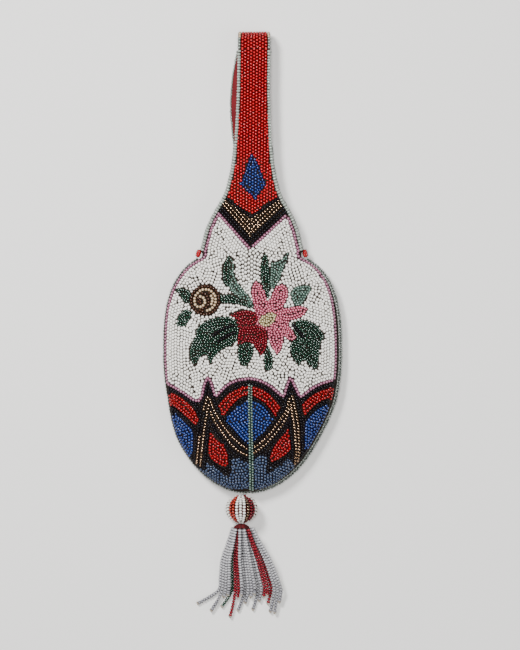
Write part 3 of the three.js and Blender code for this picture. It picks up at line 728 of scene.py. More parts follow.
# The pattern of one face, laid in this order: edges, neck, lines, strap, motifs, border and ground
class Pattern:
    def __init__(self, face, flip):
        self.face, self.flip = face, flip
        self.labels, self.kite = Labels(), Labels()
        self.foot = drawn(groundFoot, flip)[::flip]
        self.chevronFoot = sorted(drawn(chevron["foot"], flip))
        self.chevronTop = sorted(drawn(chevron["top"], flip))
        self.pinkLines = []
        self.fields = [(colour, self.shape(points)) for colour, points in borderZones]

    def shape(self, points):
        return rounded(closed(drawn(points, self.flip)), 1)

    def paintZones(self):
        labels, foot, chevronFoot = self.labels, self.foot, self.chevronFoot
        inside = np.abs(labels.x) < sheetHalf(labels.y) - laid["edgeClear"]
        inside &= (labels.y > bodyFoot + laid["footClear"]) & (labels.y < strapTop)
        labels.grid[inside] = zoneOf["border"]
        highest = strapTop + laid["over"]
        ends = [(foot[0][0] - laid["beyond"], foot[0][1]), (foot[-1][0] + laid["beyond"], foot[-1][1])]
        labels.paint([ends[0], *foot, ends[1], (-field["left"], highest), (field["left"], highest)],
                     zoneOf["ground"], only=zoneOf["border"])
        half, rise = laid["neckHalf"], laid["neckRise"]
        labels.paint([(-half, chevronFoot[0][1] + rise), *chevronFoot, (half, chevronFoot[-1][1] + rise),
                      (half, highest), (-half, highest)], zoneOf["neck"], only=zoneOf["ground"])

    def layEdges(self):
        inset = laid["edgeInset"][self.face.side]
        for side in (1, -1):
            line = edgeLine(side, inset, loop["notchTop"] + laid["edgeFoot"], strapTop, 90)
            self.face.row(line, "teal", pitch=laid["edgePitch"], margin=inset / 2)

    # A black row over the chevron, then rows that follow its lower line upwards
    def layNeck(self):
        face, foot, top, reach = self.face, self.chevronFoot, self.chevronTop, laid["armReach"]
        for (ax, ay), (bx, by) in (top[1::-1], top[1:]):
            line = [(ax, ay), (ax + (bx - ax) * reach, ay + (by - ay) * reach)]
            face.row(line, "black", margin=laid["armMargin"])
        for k, colour in enumerate(chevron["rows"]):
            rise = k * chevron["step"]
            for (ax, ay), (bx, by) in (foot[1::-1], foot[1:]):
                line = [(ax, ay + rise), (ax + (bx - ax) * reach, ay + rise + (by - ay) * reach)]
                if k == 0:
                    self.pinkLines.append([point for point in np.linspace(*line, 40).tolist()
                                           if face.margin(*point) > laid["pinkMargin"]])
                below = [point for point in np.linspace(*line, 60).tolist()
                         if point[1] < heightOn(top, point[0]) - laid["underBlack"]]
                if len(below) > 1:
                    face.row(below, colour, tight=laid["close"], margin=laid["armMargin"])

    def layLines(self):
        for side, end in ((1, -1), (-1, 0)):
            line = edgeLine(side, pinkInset, self.foot[end][1], self.chevronFoot[end][1], 70)
            self.face.row(line, "rosePink")
            self.pinkLines.append(line)
        self.face.row(rounded(self.foot, 1), "rosePink")
        self.pinkLines.append(self.foot)
        for colour, points in borderRows:
            self.face.row(rounded(drawn(points, self.flip), 1), colour)

    def strapColour(self, x, y):
        return "cobalt" if self.kite.at(x, y) else "red"

    def neckColour(self, x, y):
        if y > heightOn(self.chevronTop, x):
            return self.strapColour(x, y)
        blackTop = heightOn(self.chevronFoot, x) + laid["blackRows"] * chevron["step"]
        return "black" if y < blackTop else "bronze"

    # A kite outlined in navy, then straight columns with every second one half a bead lower
    def layStrap(self):
        face = self.face
        corners = drawn(kite, self.flip)
        middle = [sum(corner[k] for corner in corners) / 4 for k in (0, 1)]
        across, up = laid["kiteShare"]
        inner = [(middle[0] + (x - middle[0]) * across, middle[1] + (y - middle[1]) * up)
                 for x, y in closed(corners)]
        face.row(inner, "navy", tight=laid["close"])
        self.kite.paint(corners, 1)
        for column in range(-laid["columns"], laid["columns"] + 1):
            x = column * columnPitch
            y = laid["columnFoot"] + (column % 2) * rowPitch / 2
            while y < strapTop:
                over = heightOn(self.chevronTop, x) + laid["overChevron"]
                clear = face.margin(x, y) > laid["strapMargin"] and y > over
                if clear and face.room(x, y, (1.0, 0.0)) > seat["touching"]:
                    face.put(x, y, (1.0, 0.0), self.strapColour, strapSize)
                y += rowPitch
        face.fill(self.labels, zoneOf["neck"], Guides([self.chevronTop, self.chevronFoot]), self.neckColour,
                  tight=laid["close"], plug=laid["neckPlug"])

    # Bud spiral, veins, petals and leaves, each filled from its own outline inwards
    def layMotifs(self):
        face, labels, flip = self.face, self.labels, self.flip
        budX, budY = drawn([(bud["x"], bud["y"])])[0]
        for colour, across, up, size, start, stop in bud["turns"]:
            turn = [(flip * (budX + (across + size * math.cos(a)) / 2), budY + (up + size * math.sin(a)) / 2)
                    for a in np.radians(np.linspace(start, stop, 30))]
            face.row(turn, colour, tight=laid["budTight"])
        for line in veins:
            face.row(rounded(drawn(line, flip)), "black")
        reach = bud["outer"] / 2
        rim = [(flip * (budX + reach * math.cos(a)), budY + reach * math.sin(a))
               for a in np.linspace(0, 2 * math.pi, 25)]
        motifs = [(colour, self.shape(points))
                  for colour, points in leaves + flower["petals"] + [("straw", flower["heart"])]]
        for colour, points in flower["between"]:
            motifs.insert(len(leaves), (colour, closed(drawn(points, flip))))
        labels.paint(rim, zoneOf["bud"])
        numbered = list(enumerate(motifs, zoneOf["motifs"]))
        for number, (colour, shape) in numbered:
            labels.paint(shape, number)
        for number, (colour, shape) in reversed(numbered):
            face.fill(labels, number, Guides([shape]), colour, size=laid["motifSize"])
        face.fill(labels, zoneOf["bud"], Guides([rim]), "brown", tight=laid["close"], plug=laid["budPlug"])

    # The rim's beads carry on the colour of the field beside them
    def rimColour(self, x, y):
        inwards, upwards = laid["rimLook"]
        zone = self.labels.at(x - math.copysign(inwards, x), y + upwards)
        if zone >= zoneOf["fields"]:
            return self.fields[zone - zoneOf["fields"]][0]
        return "steel" if zone == zoneOf["steel"] else "black"

    def layBorder(self):
        face, labels, foot = self.face, self.labels, self.foot
        rims = [edgeLine(side, 0.0, bodyFoot, foot[0][1], 50) for side in (1, -1)]
        labels.paint(drawn(steelZone, self.flip), zoneOf["steel"], only=zoneOf["border"])
        numbered = list(enumerate(self.fields, zoneOf["fields"]))
        for number, (colour, shape) in numbered:
            labels.paint(shape, number, only=zoneOf["border"])
        for side in (1, -1):
            low, high = bodyFoot + laid["rimFoot"], foot[0][1] - laid["rimTop"]
            face.row(edgeLine(side, laid["rimInset"], low, high, 120), self.rimColour)
        for number, (colour, shape) in numbered:
            face.fill(labels, number, Guides([shape]), colour)
        face.fill(labels, zoneOf["steel"], Guides(rims), "steel")
        face.fill(labels, zoneOf["border"], Guides(rims + [foot]), "black")
        face.fill(labels, zoneOf["ground"], Guides(self.pinkLines), "white", tight=laid["whiteTight"])

    def lay(self):
        self.paintZones()
        self.layEdges()
        self.layNeck()
        self.layLines()
        self.layStrap()
        self.layMotifs()
        self.layBorder()


# Where each length of the faces rides, from the tip up
frontLengths = [
    ("front", bodyTop, ("bag",)), ("front_shoulder_low", loop["shoulder"], ("bag", "handle")),
    ("front_shoulder_high", neckFoot, ("handle", "front_neck")),
    ("front_neck", midLine - loop["midReach"], ("front_neck",)),
    ("front_bend", midLine + loop["midReach"], ("front_neck", "front_strap")),
    ("front_strap", strapTop, ("front_strap",)),
]
backLengths = [
    ("back", bodyTop, ("bag",)), ("back_shoulder", neckFoot, ("bag", "handle")),
    ("back_neck", midLine - loop["midReach"], ("handle",)),
    ("back_bend", midLine + loop["midReach"], ("handle", "back_strap")),
    ("back_strap", strapTop, ("back_strap",)),
]


def attach(piece, bodies):
    if len(bodies) == 1:
        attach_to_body(piece, bodies[0])
        return
    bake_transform(piece)


spread = {"probe": 0.25, "wobble": 0.05, "sizes": (0.95, 1.03), "most": 2000, "around": {"teal": 0.9}}


def beadSeats(face):
    probe = spread["probe"]
    made = []
    for x, y, z, c, s, colour, size, sunk in face.beads:
        slopeX = (face.height(x + probe, y) - face.height(x - probe, y)) / (2 * probe)
        slopeY = (face.height(x, y + probe) - face.height(x, y - probe)) / (2 * probe)
        outward = Vector((-slopeX, -slopeY, 1)).normalized() * face.side
        along = Vector((c, s, c * slopeX + s * slopeY)).normalized()
        jitter = wobble(spread["wobble"])
        along += wobble(spread["wobble"])
        deep = seat["depth"] + sunk + abs(jitter.z)
        place = Vector((middleAt(face.side, y) + x, y, z)) - outward * deep + jitter
        made.append((place, along, outward, size * chance.uniform(*spread["sizes"]), colour, y))
    return made


def splitBeads(face, lengths):
    pieces = {}
    low = -math.inf
    seats = beadSeats(face)
    most = spread["most"]
    for label, high, bodies in lengths:
        here = [entry for entry in seats if low <= entry[5] < high]
        for colour in finishes:
            chosen = [entry[:4] for entry in here if entry[4] == colour]
            for part in range(0, len(chosen), most):
                name = f"{label}_{colour}_beads" + (f"_{part // most + 1}" if part else "")
                around = spread["around"].get(colour, 0.0)
                piece = beadPiece(name, chosen[part:part + most], colour, around=around)
                attach(piece, bodies)
                pieces.setdefault(label, []).append(piece)
        low = high
    return pieces


beadsOf = {}
for side, lengths in ((1, frontLengths), (-1, backLengths)):
    face = BeadedFace(side)
    Pattern(face, side).lay()
    beadsOf.update(splitBeads(face, lengths))
    print("face", side, "has", len(face.beads), "beads")

# Ground cloth and lining, one length for each body
clothForm = {
    "groundDepth": 1.25, "groundThick": 0.55, "groundInset": 0.35, "liningDepth": 2.4, "liningThick": 0.5,
    "pouchInset": 4.2, "neckInset": 3.0, "strapInset": 0.6, "pouchSteps": (30, 44), "steps": (24, 20),
    "crowdedBelow": 20, "least": 0.3,
}
cuts = {}  # flat width, length and area of every cloth piece, in metres


def lengthOf(line):
    return sum((b - a).length for a, b in zip(line, line[1:]))


# A sheet over a grid whose points place(u, t) puts, u from -1 to 1 across and t from 0 to 1 along
def clothPiece(name, place, steps, thick, upwards, material):
    made = bmesh.new()
    bmesh.ops.create_grid(made, x_segments=steps[0], y_segments=steps[1], size=1)
    for vert in made.verts:
        spot = place(math.sin(vert.co.x * math.pi / 2), (vert.co.y + 1) / 2)
        vert.co = Vector(spot) * mm
    bmesh.ops.recalc_face_normals(made, faces=made.faces[:])
    if (made.faces[:][0].normal.z > 0) != upwards:
        bmesh.ops.reverse_faces(made, faces=made.faces[:])
    area = sum(face.calc_area() for face in made.faces)
    length = lengthOf([Vector(place(0, k / 40)) for k in range(41)]) * mm
    girths = [lengthOf([Vector(place(k / 20 - 1, row / 8)) for k in range(41)]) * mm for row in range(9)]
    cuts[name] = (max(girths), length, area)
    bmesh.ops.solidify(made, geom=made.faces[:], thickness=thick * mm)
    bmesh.ops.recalc_face_normals(made, faces=made.faces[:])
    return addPiece(name, made, material)


def facePlace(side, low, high, depth, inset):
    crowded = low < bodyTop - clothForm["crowdedBelow"]  # the rows crowd towards the tip

    def place(u, t):
        y = low + (high - low) * (1 - math.cos(math.pi / 2 * t) if crowded else t)
        x = u * max(float(sheetHalf(y)) - inset, clothForm["least"])
        return (middleAt(side, y) + x, y, float(faceHeight(side, x, y)) - side * depth)
    return place


clothNodes = {
    "front": ("front_panel", "front_lining"), "front_shoulder_low": ("front_shoulder_bend",),
    "front_neck": ("front_neck", "front_neck_lining"), "front_bend": ("front_strap_bend",),
    "front_strap": ("front_strap", "front_strap_lining"), "back": ("back_panel", "back_lining"),
    "back_shoulder": ("back_shoulder_bend",), "back_neck": ("back_neck", "back_neck_lining"),
    "back_bend": ("back_strap_bend",), "back_strap": ("back_strap", "back_strap_lining"),
}
cloths = []  # label, ground, lining, in order from the tip up


def layCloths(side, lengths):
    low = bodyFoot
    for label, high, bodies in lengths:
        pouch, strap = high == bodyTop, low >= midLine - loop["midReach"]
        steps = clothForm["pouchSteps" if pouch else "steps"]
        inset = clothForm["pouchInset" if pouch else "strapInset" if strap else "neckInset"]
        place = facePlace(side, low, high, clothForm["groundDepth"], clothForm["groundInset"])
        ground = clothPiece(label + "_ground", place, steps, clothForm["groundThick"], side > 0,
                            strapCloth if strap else groundCloth)
        liningLow = low + (clothForm["pouchInset"] if pouch else 0)
        place = facePlace(side, liningLow, high, clothForm["liningDepth"], inset)
        lining = clothPiece(label + "_lining_cloth", place, steps, clothForm["liningThick"], side > 0,
                            liningCloth)
        for piece in (ground, lining):
            attach(piece, bodies)
        for piece, node in zip((ground, lining), clothNodes.get(label, ())):
            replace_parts(piece, node)
        cloths.append((label, ground, lining))
        low = high


layCloths(1, frontLengths)
layCloths(-1, backLengths)
print("cloths laid")

# Fold at the top of the loop: the strap's columns run on round it
fold = {
    "turnLine": strapTop + loop["turnStraight"], "edgeInset": 0.88, "cornerPull": 0.5, "pale": 0.45,
    "columns": 4, "start": 0.3, "edgeStart": 0.4, "wobble": 0.05, "sizes": (0.97, 1.05), "steps": (12, 36),
}


def foldSpot(depth, x, s):
    radius = loop["rise"] - depth
    straight, turn = loop["turnStraight"], math.pi * radius
    middle = float(centreAt(strapTop))
    if s < straight:
        return (middle + x, strapTop + s, body["seamHeight"] + radius), (0, 0, 1)
    if s > straight + turn:
        return (middle + x, fold["turnLine"] - (s - straight - turn), body["seamHeight"] - radius), (0, 0, -1)
    a = (s - straight) / radius
    ahead, up = math.sin(a), math.cos(a)
    return (middle + x, fold["turnLine"] + radius * ahead, body["seamHeight"] + radius * up), (0, ahead, up)


def foldLength(depth):
    return 2 * loop["turnStraight"] + math.pi * (loop["rise"] - depth)


def foldBeads():
    long = foldLength(seat["depth"])
    seats = {"red": [], "teal": [], "cream": []}
    edge = loop["strapHalf"] - fold["edgeInset"]
    lines = [(k * columnPitch, rowPitch, (k % 2) * rowPitch / 2, False)
             for k in range(-fold["columns"], fold["columns"] + 1)]
    lines += [(x, laid["edgePitch"], fold["edgeStart"], True) for x in (edge, -edge)]
    for x, pitch, start, isEdge in lines:
        s = start + fold["start"]
        while s < long:
            share = s / long
            pull = fold["cornerPull"] * math.sin(math.pi * share) ** 4 / loop["strapHalf"]
            spot, outward = foldSpot(seat["depth"], x * (1 - pull), s)
            outward = Vector(outward)
            along = outward.cross(Vector((1, 0, 0))) if isEdge else Vector((1, 0, 0))
            shift = wobble(fold["wobble"])
            size = strapSize * chance.uniform(*fold["sizes"])
            colour = ("cream" if abs(share - 0.5) < fold["pale"] / 2 else "teal") if isEdge else "red"
            seats[colour].append((Vector(spot) + shift, along + shift, outward, size))
            s += pitch
    return [beadPiece(f"fold_{colour}_beads", placed, colour) for colour, placed in seats.items()]


def layFold():
    pieces = foldBeads()
    beadsOf["fold"] = list(pieces)
    for name, part, inset, node, material in (
            ("fold_ground", "ground", clothForm["groundInset"], "strap_top_fold", strapCloth),
            ("fold_lining_cloth", "lining", clothForm["strapInset"], "strap_top_fold_lining", liningCloth)):
        half, depth = loop["strapHalf"] - inset, clothForm[part + "Depth"]
        piece = clothPiece(name, lambda u, t: foldSpot(depth, u * half, t * foldLength(depth))[0],
                           fold["steps"], clothForm[part + "Thick"], True, material)
        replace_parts(piece, node)
        pieces.append(piece)
    for piece in pieces:
        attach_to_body(piece, "back_strap")
    cloths.append(("fold", *pieces[-2:]))


layFold()
print("fold laid")


# Smooth line through a few points, as a centripetal Catmull-Rom curve goes
def smoothLine(points, steps):
    given = [Vector(p) for p in points]
    given = [2 * given[0] - given[1], *given, 2 * given[-1] - given[-2]]
    line = []
    for k in range(1, len(given) - 2):
        a, b, c, d = given[k - 1:k + 3]
        before, here, after = (max((q - p).length ** 0.5, 1e-4) for p, q in ((a, b), (b, c), (c, d)))
        start = ((b - a) / before - (c - a) / (before + here) + (c - b) / here) * here
        stop = ((c - b) / here - (d - b) / (here + after) + (d - c) / after) * here
        for i in range(steps + (k == len(given) - 3)):
            t = i / steps
            line.append(b * (2 * t ** 3 - 3 * t ** 2 + 1) + start * (t ** 3 - 2 * t ** 2 + t)
                        + c * (3 * t ** 2 - 2 * t ** 3) + stop * (t ** 3 - t ** 2))
    return line


# Points at an even pitch along a line, each with its heading
def paced(line, pitch):
    due = pitch / 2
    placed = []
    for a, b in zip(line, line[1:]):
        length = (b - a).length
        heading = (b - a).normalized()
        gone = 0.0
        while gone + due <= length:
            gone += due
            due = pitch
            placed.append((a + heading * gone, heading))
        due -= length - gone
    return placed


# A round tube along a line, in millimetres
def addTube(made, line, radius, sides):
    heading = (line[1] - line[0]).normalized()
    turn = heading.to_track_quat("Z", "Y")
    stand = Matrix.Translation(line[0] * mm) @ turn.to_matrix().to_4x4()
    ring = bmesh.ops.create_circle(made, segments=sides, radius=radius * mm, matrix=stand)["verts"]
    edges = list({edge for vert in ring for edge in vert.link_edges})
    first = list(edges)
    for k in range(1, len(line)):
        ahead = (line[min(k + 1, len(line) - 1)] - line[k - 1]).normalized()
        turn = heading.rotation_difference(ahead) @ turn
        heading = ahead
        following = Matrix.Translation(line[k] * mm) @ turn.to_matrix().to_4x4()
        grown = bmesh.ops.extrude_edge_only(made, edges=edges)["geom"]
        verts = [item for item in grown if isinstance(item, bmesh.types.BMVert)]
        edges = [item for item in grown if isinstance(item, bmesh.types.BMEdge)]
        bmesh.ops.transform(made, matrix=following @ stand.inverted(), verts=verts)
        stand = following
    for rim in (first, edges):
        bmesh.ops.holes_fill(made, edges=rim, sides=0)


# Plies of thread that twist round each other along a line
def twisted(made, line, radius, plies, pitch, offset):
    gone = 0.0
    spots = []
    for k, spot in enumerate(line):
        ahead = (line[min(k + 1, len(line) - 1)] - line[max(k - 1, 0)]).normalized()
        gone += (spot - line[k - 1]).length if k else 0
        side = ahead.orthogonal().normalized() if k == 0 else (side - ahead * side.dot(ahead)).normalized()
        spots.append((spot, ahead, side, gone))
    for ply in range(plies):
        path = []
        for spot, ahead, side, gone in spots:
            angle = 2 * math.pi * (gone / pitch + ply / plies)
            path.append(spot + (side * math.cos(angle) + ahead.cross(side) * math.sin(angle)) * offset)
        addTube(made, path, radius, 6)


def threadPiece(name, made, body):
    bmesh.ops.recalc_face_normals(made, faces=made.faces[:])
    piece = addPiece(name, made, paleThread if name.startswith("strand") else redThread)
    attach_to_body(piece, body)
    return piece


# Seams: every stitch carries small beads over the edge, and cloth behind them closes the side
seam = {
    "inset": 1.2, "centre": 0.8, "pitch": 1.40, "offset": 0.62, "length": 1.00, "across": 1.42, "slant": 0.35,
    "angles": (105, 15, -75), "lowest": 0.002, "highest": 1.056, "steps": (60, 40), "wobble": 0.05,
    "sizes": (0.92, 1.06), "around": 0.6, "clothRadius": 0.5, "clothRise": 6.0, "clothTuck": 1.3,
}
centreSeam = {
    "top": -4.5, "foot": -57.6, "gap": 0.6, "pitch": 1.36, "offset": 0.56, "length": 1.12, "across": 1.4,
    "shift": -0.2, "lean": -0.6, "slant": 0.35, "sunk": 0.15, "roll": -0.3, "wobble": 0.04,
    "sizes": (0.94, 1.05),
}
tack = {
    "radius": 1.4, "offset": 0.78, "length": 0.95, "across": 1.2, "stitches": (0.0, 0.8, 1.6), "lean": 0.25,
    "around": 6, "drawnIn": 0.45, "rise": 0.9, "slant": 0.2, "size": 0.95,
}


def seamLine(side):
    wide, low, high = (body[key] - seam["inset"] for key in ("halfWidth", "bellyToTip", "bellyToCrown"))
    lower, upper = seam["steps"]
    curve = [(math.sin(a), -low * math.cos(a)) for a in np.linspace(seam["lowest"], math.pi / 2, lower)]
    curve += [(math.cos(a) ** (2 / 3), high * math.sin(a) ** (2 / 3))
               for a in np.linspace(0, seam["highest"], upper)[1:]]
    line = [Vector((seam["centre"] + side * wide * across, body["bellyLine"] + up, body["seamHeight"]))
            for across, up in curve]
    return [spot + Vector((float(tipShift(spot.y)), 0, 0)) for spot in line]


def sewSide(word, side):
    seats, edge = [], []
    for spot, heading in paced(seamLine(side), seam["pitch"]):
        away = Vector((heading.y, -heading.x, 0)) * side
        edge.append(spot - away * seam["clothTuck"])
        for a in map(math.radians, seam["angles"]):
            outward = away * math.cos(a) + Vector((0, 0, math.sin(a)))
            along = Vector((0, 0, math.cos(a))) - away * math.sin(a) + heading * seam["slant"]
            place = spot + outward * seam["offset"] + wobble(seam["wobble"])
            seats.append((place, along, outward, chance.uniform(*seam["sizes"])))
    piece = beadPiece(f"{word}_seam_beads", seats, "teal", seam["length"], seam["across"],
                      around=seam["around"])
    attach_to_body(piece, "bag")
    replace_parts(piece, f"{word}_seam_beading")
    made = bmesh.new()
    addTube(made, edge, seam["clothRadius"], 8)
    level = Matrix.Translation((0, 0, -body["seamHeight"] * mm))
    bmesh.ops.scale(made, vec=(1, 1, seam["clothRise"]), space=level, verts=made.verts[:])
    bmesh.ops.recalc_face_normals(made, faces=made.faces[:])
    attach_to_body(addPiece(f"{word}_seam_cloth", made, groundCloth), "bag")


def sewTack(word, side):
    reach = loop["notchHalf"] + body["gap"] + tack["radius"]
    middle = Vector((body["centre"] + side * reach, loop["shoulder"], body["seamHeight"]))
    seats = []
    for stitch, level, k in itertools.product(tack["stitches"], (-1, 0, 1), range(tack["around"])):
        a = 2 * math.pi / tack["around"] * (k + level / 2)
        ring = Vector((math.cos(a), math.sin(a), 0))
        outward = ring * (1 - tack["drawnIn"] * abs(level)) + Vector((0, 0, tack["rise"] * level))
        outward.normalize()
        place = middle + Vector((-side * stitch * tack["lean"], stitch, 0)) + outward * tack["offset"]
        seats.append((place, Vector((-ring.y, ring.x, tack["slant"])), outward, tack["size"]))
    piece = beadPiece(f"{word}_tack_beads", seats, "red", tack["length"], tack["across"])
    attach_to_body(piece, "bag")
    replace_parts(piece, f"{word}_shoulder_tack")


def sewCentre():
    top, foot = centreSeam["top"], centreSeam["foot"]
    line, seats = [], []
    for y in np.linspace(top, foot, 50):
        x = body["centre"] + centreSeam["shift"] + centreSeam["lean"] * float(eased(y, foot, top))
        line.append(Vector((x, y, float(faceHeight(1, 0.0, y)) + centreSeam["gap"])))
    for spot, heading in paced(line, centreSeam["pitch"]):
        outward = Vector((1, 0, 0)).cross(heading).normalized()
        outward *= 1 if outward.z > 0 else -1
        for side in (-1, 1):
            across = Vector((1, 0, 0)) + heading * centreSeam["slant"]
            place = spot + across * side * centreSeam["offset"] - outward * centreSeam["sunk"]
            place += wobble(centreSeam["wobble"])
            along = across + outward * centreSeam["roll"] * side
            seats.append((place, along, outward, chance.uniform(*centreSeam["sizes"])))
    piece = beadPiece("centre_seam_beads", seats, "seaGreen", centreSeam["length"], centreSeam["across"])
    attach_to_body(piece, "bag")
    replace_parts(piece, "front_centre_seam")


for word, side in (("left", -1), ("right", 1)):
    sewSide(word, side)
    sewTack(word, side)
sewCentre()
print("seams sewn")

# Tassel: a wooden ball under rows of beads that run from pole to pole
ball = {
    "centre": (-4.75, -67.0, 8.1), "radius": 8.1, "halfHeight": 7.4, "turn": -64.0, "step": 15.0,
    "rows": ["white", "orangeRed", "orangeRed", "white", "white", "white", "bronze", "darkRed", "darkRed",
             "white", "bronze", "white"],
    "hanger": [(-2.6, -60.2, 6), (-3.4, -60.3, 6.7), (-4.3, -60.35, 7.4), (-4.75, -61, 8.1)],
    "stops": (0.62, 0.27), "pitch": 1.40, "beadLength": 1.3, "beadAcross": 1.76, "wobble": 0.04,
    "sizes": (0.96, 1.04), "coreInset": 0.6,
}
twists = {"hanger": (0.22, 2, 1.6, 0.2), "core": (0.4, 3, 3.2, 0.4)}  # radius, plies, pitch, offset
binding = {
    "top": -74.6, "flat": 0.8, "thread": 0.32, "low": 2.1, "core": 0.1, "steps": 28,
    "crown": [(0.02, 0.1), (0.9, 0.1)],
    "turns": [(1.6, 0.2), (2.3, 0.5), (2.9, 0.8), (3.35, 1.1), (3.65, 1.45), (3.75, 1.8)],
}


def makeBall():
    centre = Vector(ball["centre"])
    wide, tall = ball["radius"] - seat["depth"], ball["halfHeight"] - seat["depth"]
    seats = {}
    for k, colour in enumerate(ball["rows"] * 2):
        theta = math.radians(ball["turn"] + ball["step"] * k)
        side = Vector((math.sin(theta), 0, math.cos(theta)))
        stop = ball["stops"][k % 2]
        line = [centre + side * wide * math.sin(a) + Vector((0, tall * math.cos(a), 0))
                for a in np.linspace(stop, math.pi - stop, 60)]
        for spot, heading in paced(line, ball["pitch"]):
            away = spot - centre
            outward = Vector((away.x / wide ** 2, away.y / tall ** 2, away.z / wide ** 2)).normalized()
            shift = wobble(ball["wobble"])
            size = chance.uniform(*ball["sizes"])
            seats.setdefault(colour, []).append((spot + shift, heading + shift, outward, size))
    for colour, placed in seats.items():
        piece = beadPiece(f"ball_{colour}_beads", placed, colour, ball["beadLength"], ball["beadAcross"])
        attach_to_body(piece, "tassel_ball")
        if colour == "white":
            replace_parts(piece, "tassel_ball_beads")
    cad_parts["tassel_ball_core"].material_slots[0].material = stainedWood

    made = bmesh.new()
    twisted(made, smoothLine(ball["hanger"], 6), *twists["hanger"])
    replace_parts(threadPiece("hanger_thread", made, "tassel_hanger"), "tassel_hanger")
    made = bmesh.new()
    ends = [centre + Vector((0, side * (ball["halfHeight"] - ball["coreInset"]), 0)) for side in (1, -1)]
    twisted(made, [ends[0].lerp(ends[1], k / 40) for k in range(41)], *twists["core"])
    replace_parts(threadPiece("core_cord_thread", made, "tassel_ball"), "tassel_core_cord")


def windBinding():
    made = bmesh.new()
    x, _, z = ball["centre"]
    profile = binding["crown"] + [(wide - binding["core"], low) for wide, low in binding["turns"]]
    profile += [(wide, binding["low"]) for wide in (binding["turns"][-1][0], binding["crown"][0][0])]
    turned(made, [(wide * mm, -low * mm, 0) for wide, low in profile], (0, 1, 0), binding["steps"])
    for wide, low in binding["turns"]:
        stand = Matrix.Translation(Vector((wide, -low, 0)) * mm)
        ring = bmesh.ops.create_circle(made, segments=6, radius=binding["thread"] * mm, matrix=stand)["verts"]
        edges = list({edge for vert in ring for edge in vert.link_edges})
        wholeTurn(made, ring + edges, (0, 1, 0), binding["steps"])
    bmesh.ops.scale(made, vec=(1, 1, binding["flat"]), verts=made.verts[:])
    bmesh.ops.translate(made, vec=Vector((x, binding["top"], z)) * mm, verts=made.verts[:])
    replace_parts(threadPiece("binding_thread", made, "fringe"), "fringe_binding")


makeBall()
windBinding()
print("ball and binding made")

# Fringe: limp strings of beads, each knotted under its last bead
fringe = {
    "count": 20, "layers": 4, "radius": 0.95, "top": -77.0, "arch": 0.6, "spread": 9.8, "topCentre": -4.25,
    "pitchTop": 2.08, "pitchLow": 1.28, "pitchToe": 0.95, "pitchEnd": 0.7,
    "middle": (-92.5, -14.5, 9.5, 1.9), "low": (-107.5, -16.0, 15.0), "beadPitch": 1.42, "beadLength": 1.4,
    "beadAcross": 1.86, "threadRadius": 0.24, "knotRadius": 0.3, "knotSize": 0.26, "tilt": 0.07,
    "sizes": (0.94, 1.04), "around": 0.75,
    "upperBend": (0.4, 0.42, 0.4), "lowerBend": (0.55, 0.5, 0.65), "toeBend": (0.35, 0.45), "midShare": 0.3,
    "colours": {4: "darkGreen", **dict.fromkeys((5, 6, 14, 15, 16), "darkRed")},
}
strandEnds = [
    (-10.5, -114.5), (-5.5, -118), (-0.8, -111), (-0.4, -110), (-5, -116), (-2.6, -121), (-0.5, -111.5),
    (-0.2, -110), (-3.5, -118), (-1.5, -114), (-0.4, -111), (-0.2, -109.5), (-2.6, -117.5), (-1, -113),
    (-0.4, -111), (-0.2, -110), (-1.6, -114.5), (-2, -118.5), (-1.5, -119), (-0.8, -113.5),
]


def mix(low, high, share):
    return low + (high - low) * share


def strandRoute(k):
    share, layer = k / (fringe["count"] - 1), k % fringe["layers"]
    midY, midLeft, midRight, midRise = fringe["middle"]
    lowY, lowLeft, lowRight = fringe["low"]
    toe, endY = strandEnds[k]
    lying = fringe["radius"] + body["gap"] / 6
    topZ = ball["centre"][2] + (layer - (fringe["layers"] - 1) / 2) * fringe["pitchTop"]
    top = fringe["topCentre"] + fringe["spread"] * (share - 0.5)
    topY = fringe["top"] + fringe["arch"] * (2 * share - 1) ** 2
    middle, low = mix(midLeft, midRight, share), mix(lowLeft, lowRight, share)
    middleZ = lying + midRise + layer * mix(fringe["pitchTop"], fringe["pitchLow"], fringe["midShare"])
    high, waist = (top, topY, topZ), (middle, midY, middleZ)
    foot = (low, lowY, lying + layer * fringe["pitchLow"])
    toeAcross, toeAlong = fringe["toeBend"]
    return [
        high, tuple(map(mix, high, waist, fringe["upperBend"])),
        waist, tuple(map(mix, waist, foot, fringe["lowerBend"])), foot,
        (low + toeAcross * toe, mix(lowY, endY, toeAlong), lying + layer * fringe["pitchToe"]),
        (low + toe, endY, lying + layer * fringe["pitchEnd"]),
    ]


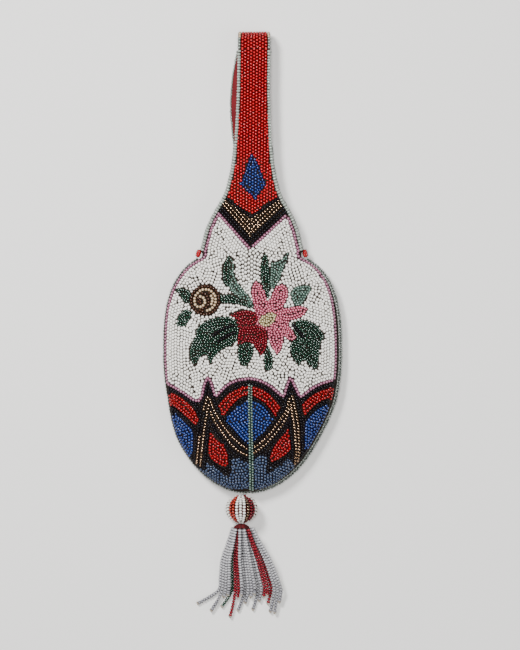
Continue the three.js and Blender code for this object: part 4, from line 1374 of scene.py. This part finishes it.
def makeStrand(k):
    line = smoothLine(strandRoute(k), 6)
    length = lengthOf(line)
    colour = fringe["colours"].get(k, "fringeWhite")
    seats = []
    for spot, heading in paced(line, length / round(length / fringe["beadPitch"])):
        tilt = wobble(fringe["tilt"])
        upwards = Vector((0, 0, 1)) - heading * heading.z
        seats.append((spot, heading + tilt, upwards, chance.uniform(*fringe["sizes"])))
    label = f"strand_{k + 1:02d}"
    strand = beadPiece(label + "_beads", seats, colour, fringe["beadLength"], fringe["beadAcross"],
                       around=fringe["around"])
    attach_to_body(strand, "fringe")
    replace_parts(strand, label)
    made = bmesh.new()
    addTube(made, line, fringe["threadRadius"], 5)
    size = fringe["knotSize"]
    knot = [line[-1] + Vector((math.sin(a) + 2 * math.sin(2 * a), math.cos(a) - 2 * math.cos(2 * a),
                               -math.sin(3 * a))) * size for a in np.linspace(0, 2 * math.pi, 19)]
    addTube(made, knot, fringe["knotRadius"], 5)
    thread = threadPiece(label + "_thread", made, "fringe")


for k in range(fringe["count"]):
    makeStrand(k)
print("fringe made")


# Lengths of cloth are grouped with their beads; a length too short to stand alone goes with its neighbour
def declareSheets():
    smallest = 0.0101
    declared = []
    for label, ground, lining in cloths:
        extra = [ground, lining, *beadsOf.get(label, [])]
        if min(cuts[ground.name][:2]) < smallest:
            declared[-1][2].extend(extra)
            continue
        declared.append((ground, lining, extra[2:]))


declareSheets()

# Plain pale floor, lamps and sky, in metres and watts
floor = {"half": 3, "drop": -0.0003, "look": {"Base Color": (0.78, 0.77, 0.75, 1), "Roughness": 0.85}}


def addFloor():
    made = bmesh.new()
    bmesh.ops.create_grid(made, x_segments=1, y_segments=1, size=floor["half"])
    bmesh.ops.translate(made, verts=made.verts[:], vec=(0, 0, floor["drop"]))
    look = Shading("paleFloor")
    look.feed(look.shader, floor["look"])
    mesh = meshOf("paleFloor", made)
    mesh.materials.append(look.material)
    piece = bpy.data.objects.new("paleFloor", mesh)
    scene.collection.objects.link(piece)


addFloor()

lamps = {
    "key": {"at": (-0.4, 0.5, 0.9), "size": 0.25, "watts": 17.0},
    "fill": {"at": (0.8, -0.3, 0.8), "size": 0.8, "watts": 4.0},
    "top": {"at": (0.0, 0.03, 1.4), "size": 0.3, "watts": 17.0},
}
sky = {"aim": (0, 0.03, 0), "strength": 0.16}


def addLamps():
    for name, lamp in lamps.items():
        data = bpy.data.lights.new(name + "Lamp", "AREA")
        data.size = lamp["size"]
        data.energy = lamp["watts"]
        item = bpy.data.objects.new(name + "Lamp", data)
        item.location = lamp["at"]
        towards = Vector(sky["aim"]) - Vector(lamp["at"])
        item.rotation_euler = towards.to_track_quat("-Z", "Y").to_euler()
        scene.collection.objects.link(item)
    world = bpy.data.worlds.new("studio")
    world.use_nodes = True
    inputs = world.node_tree.nodes["Background"].inputs
    inputs["Color"].default_value = (1, 1, 1, 1)
    inputs["Strength"].default_value = sky["strength"]
    scene.world = world


addLamps()
print("floor and lights placed")
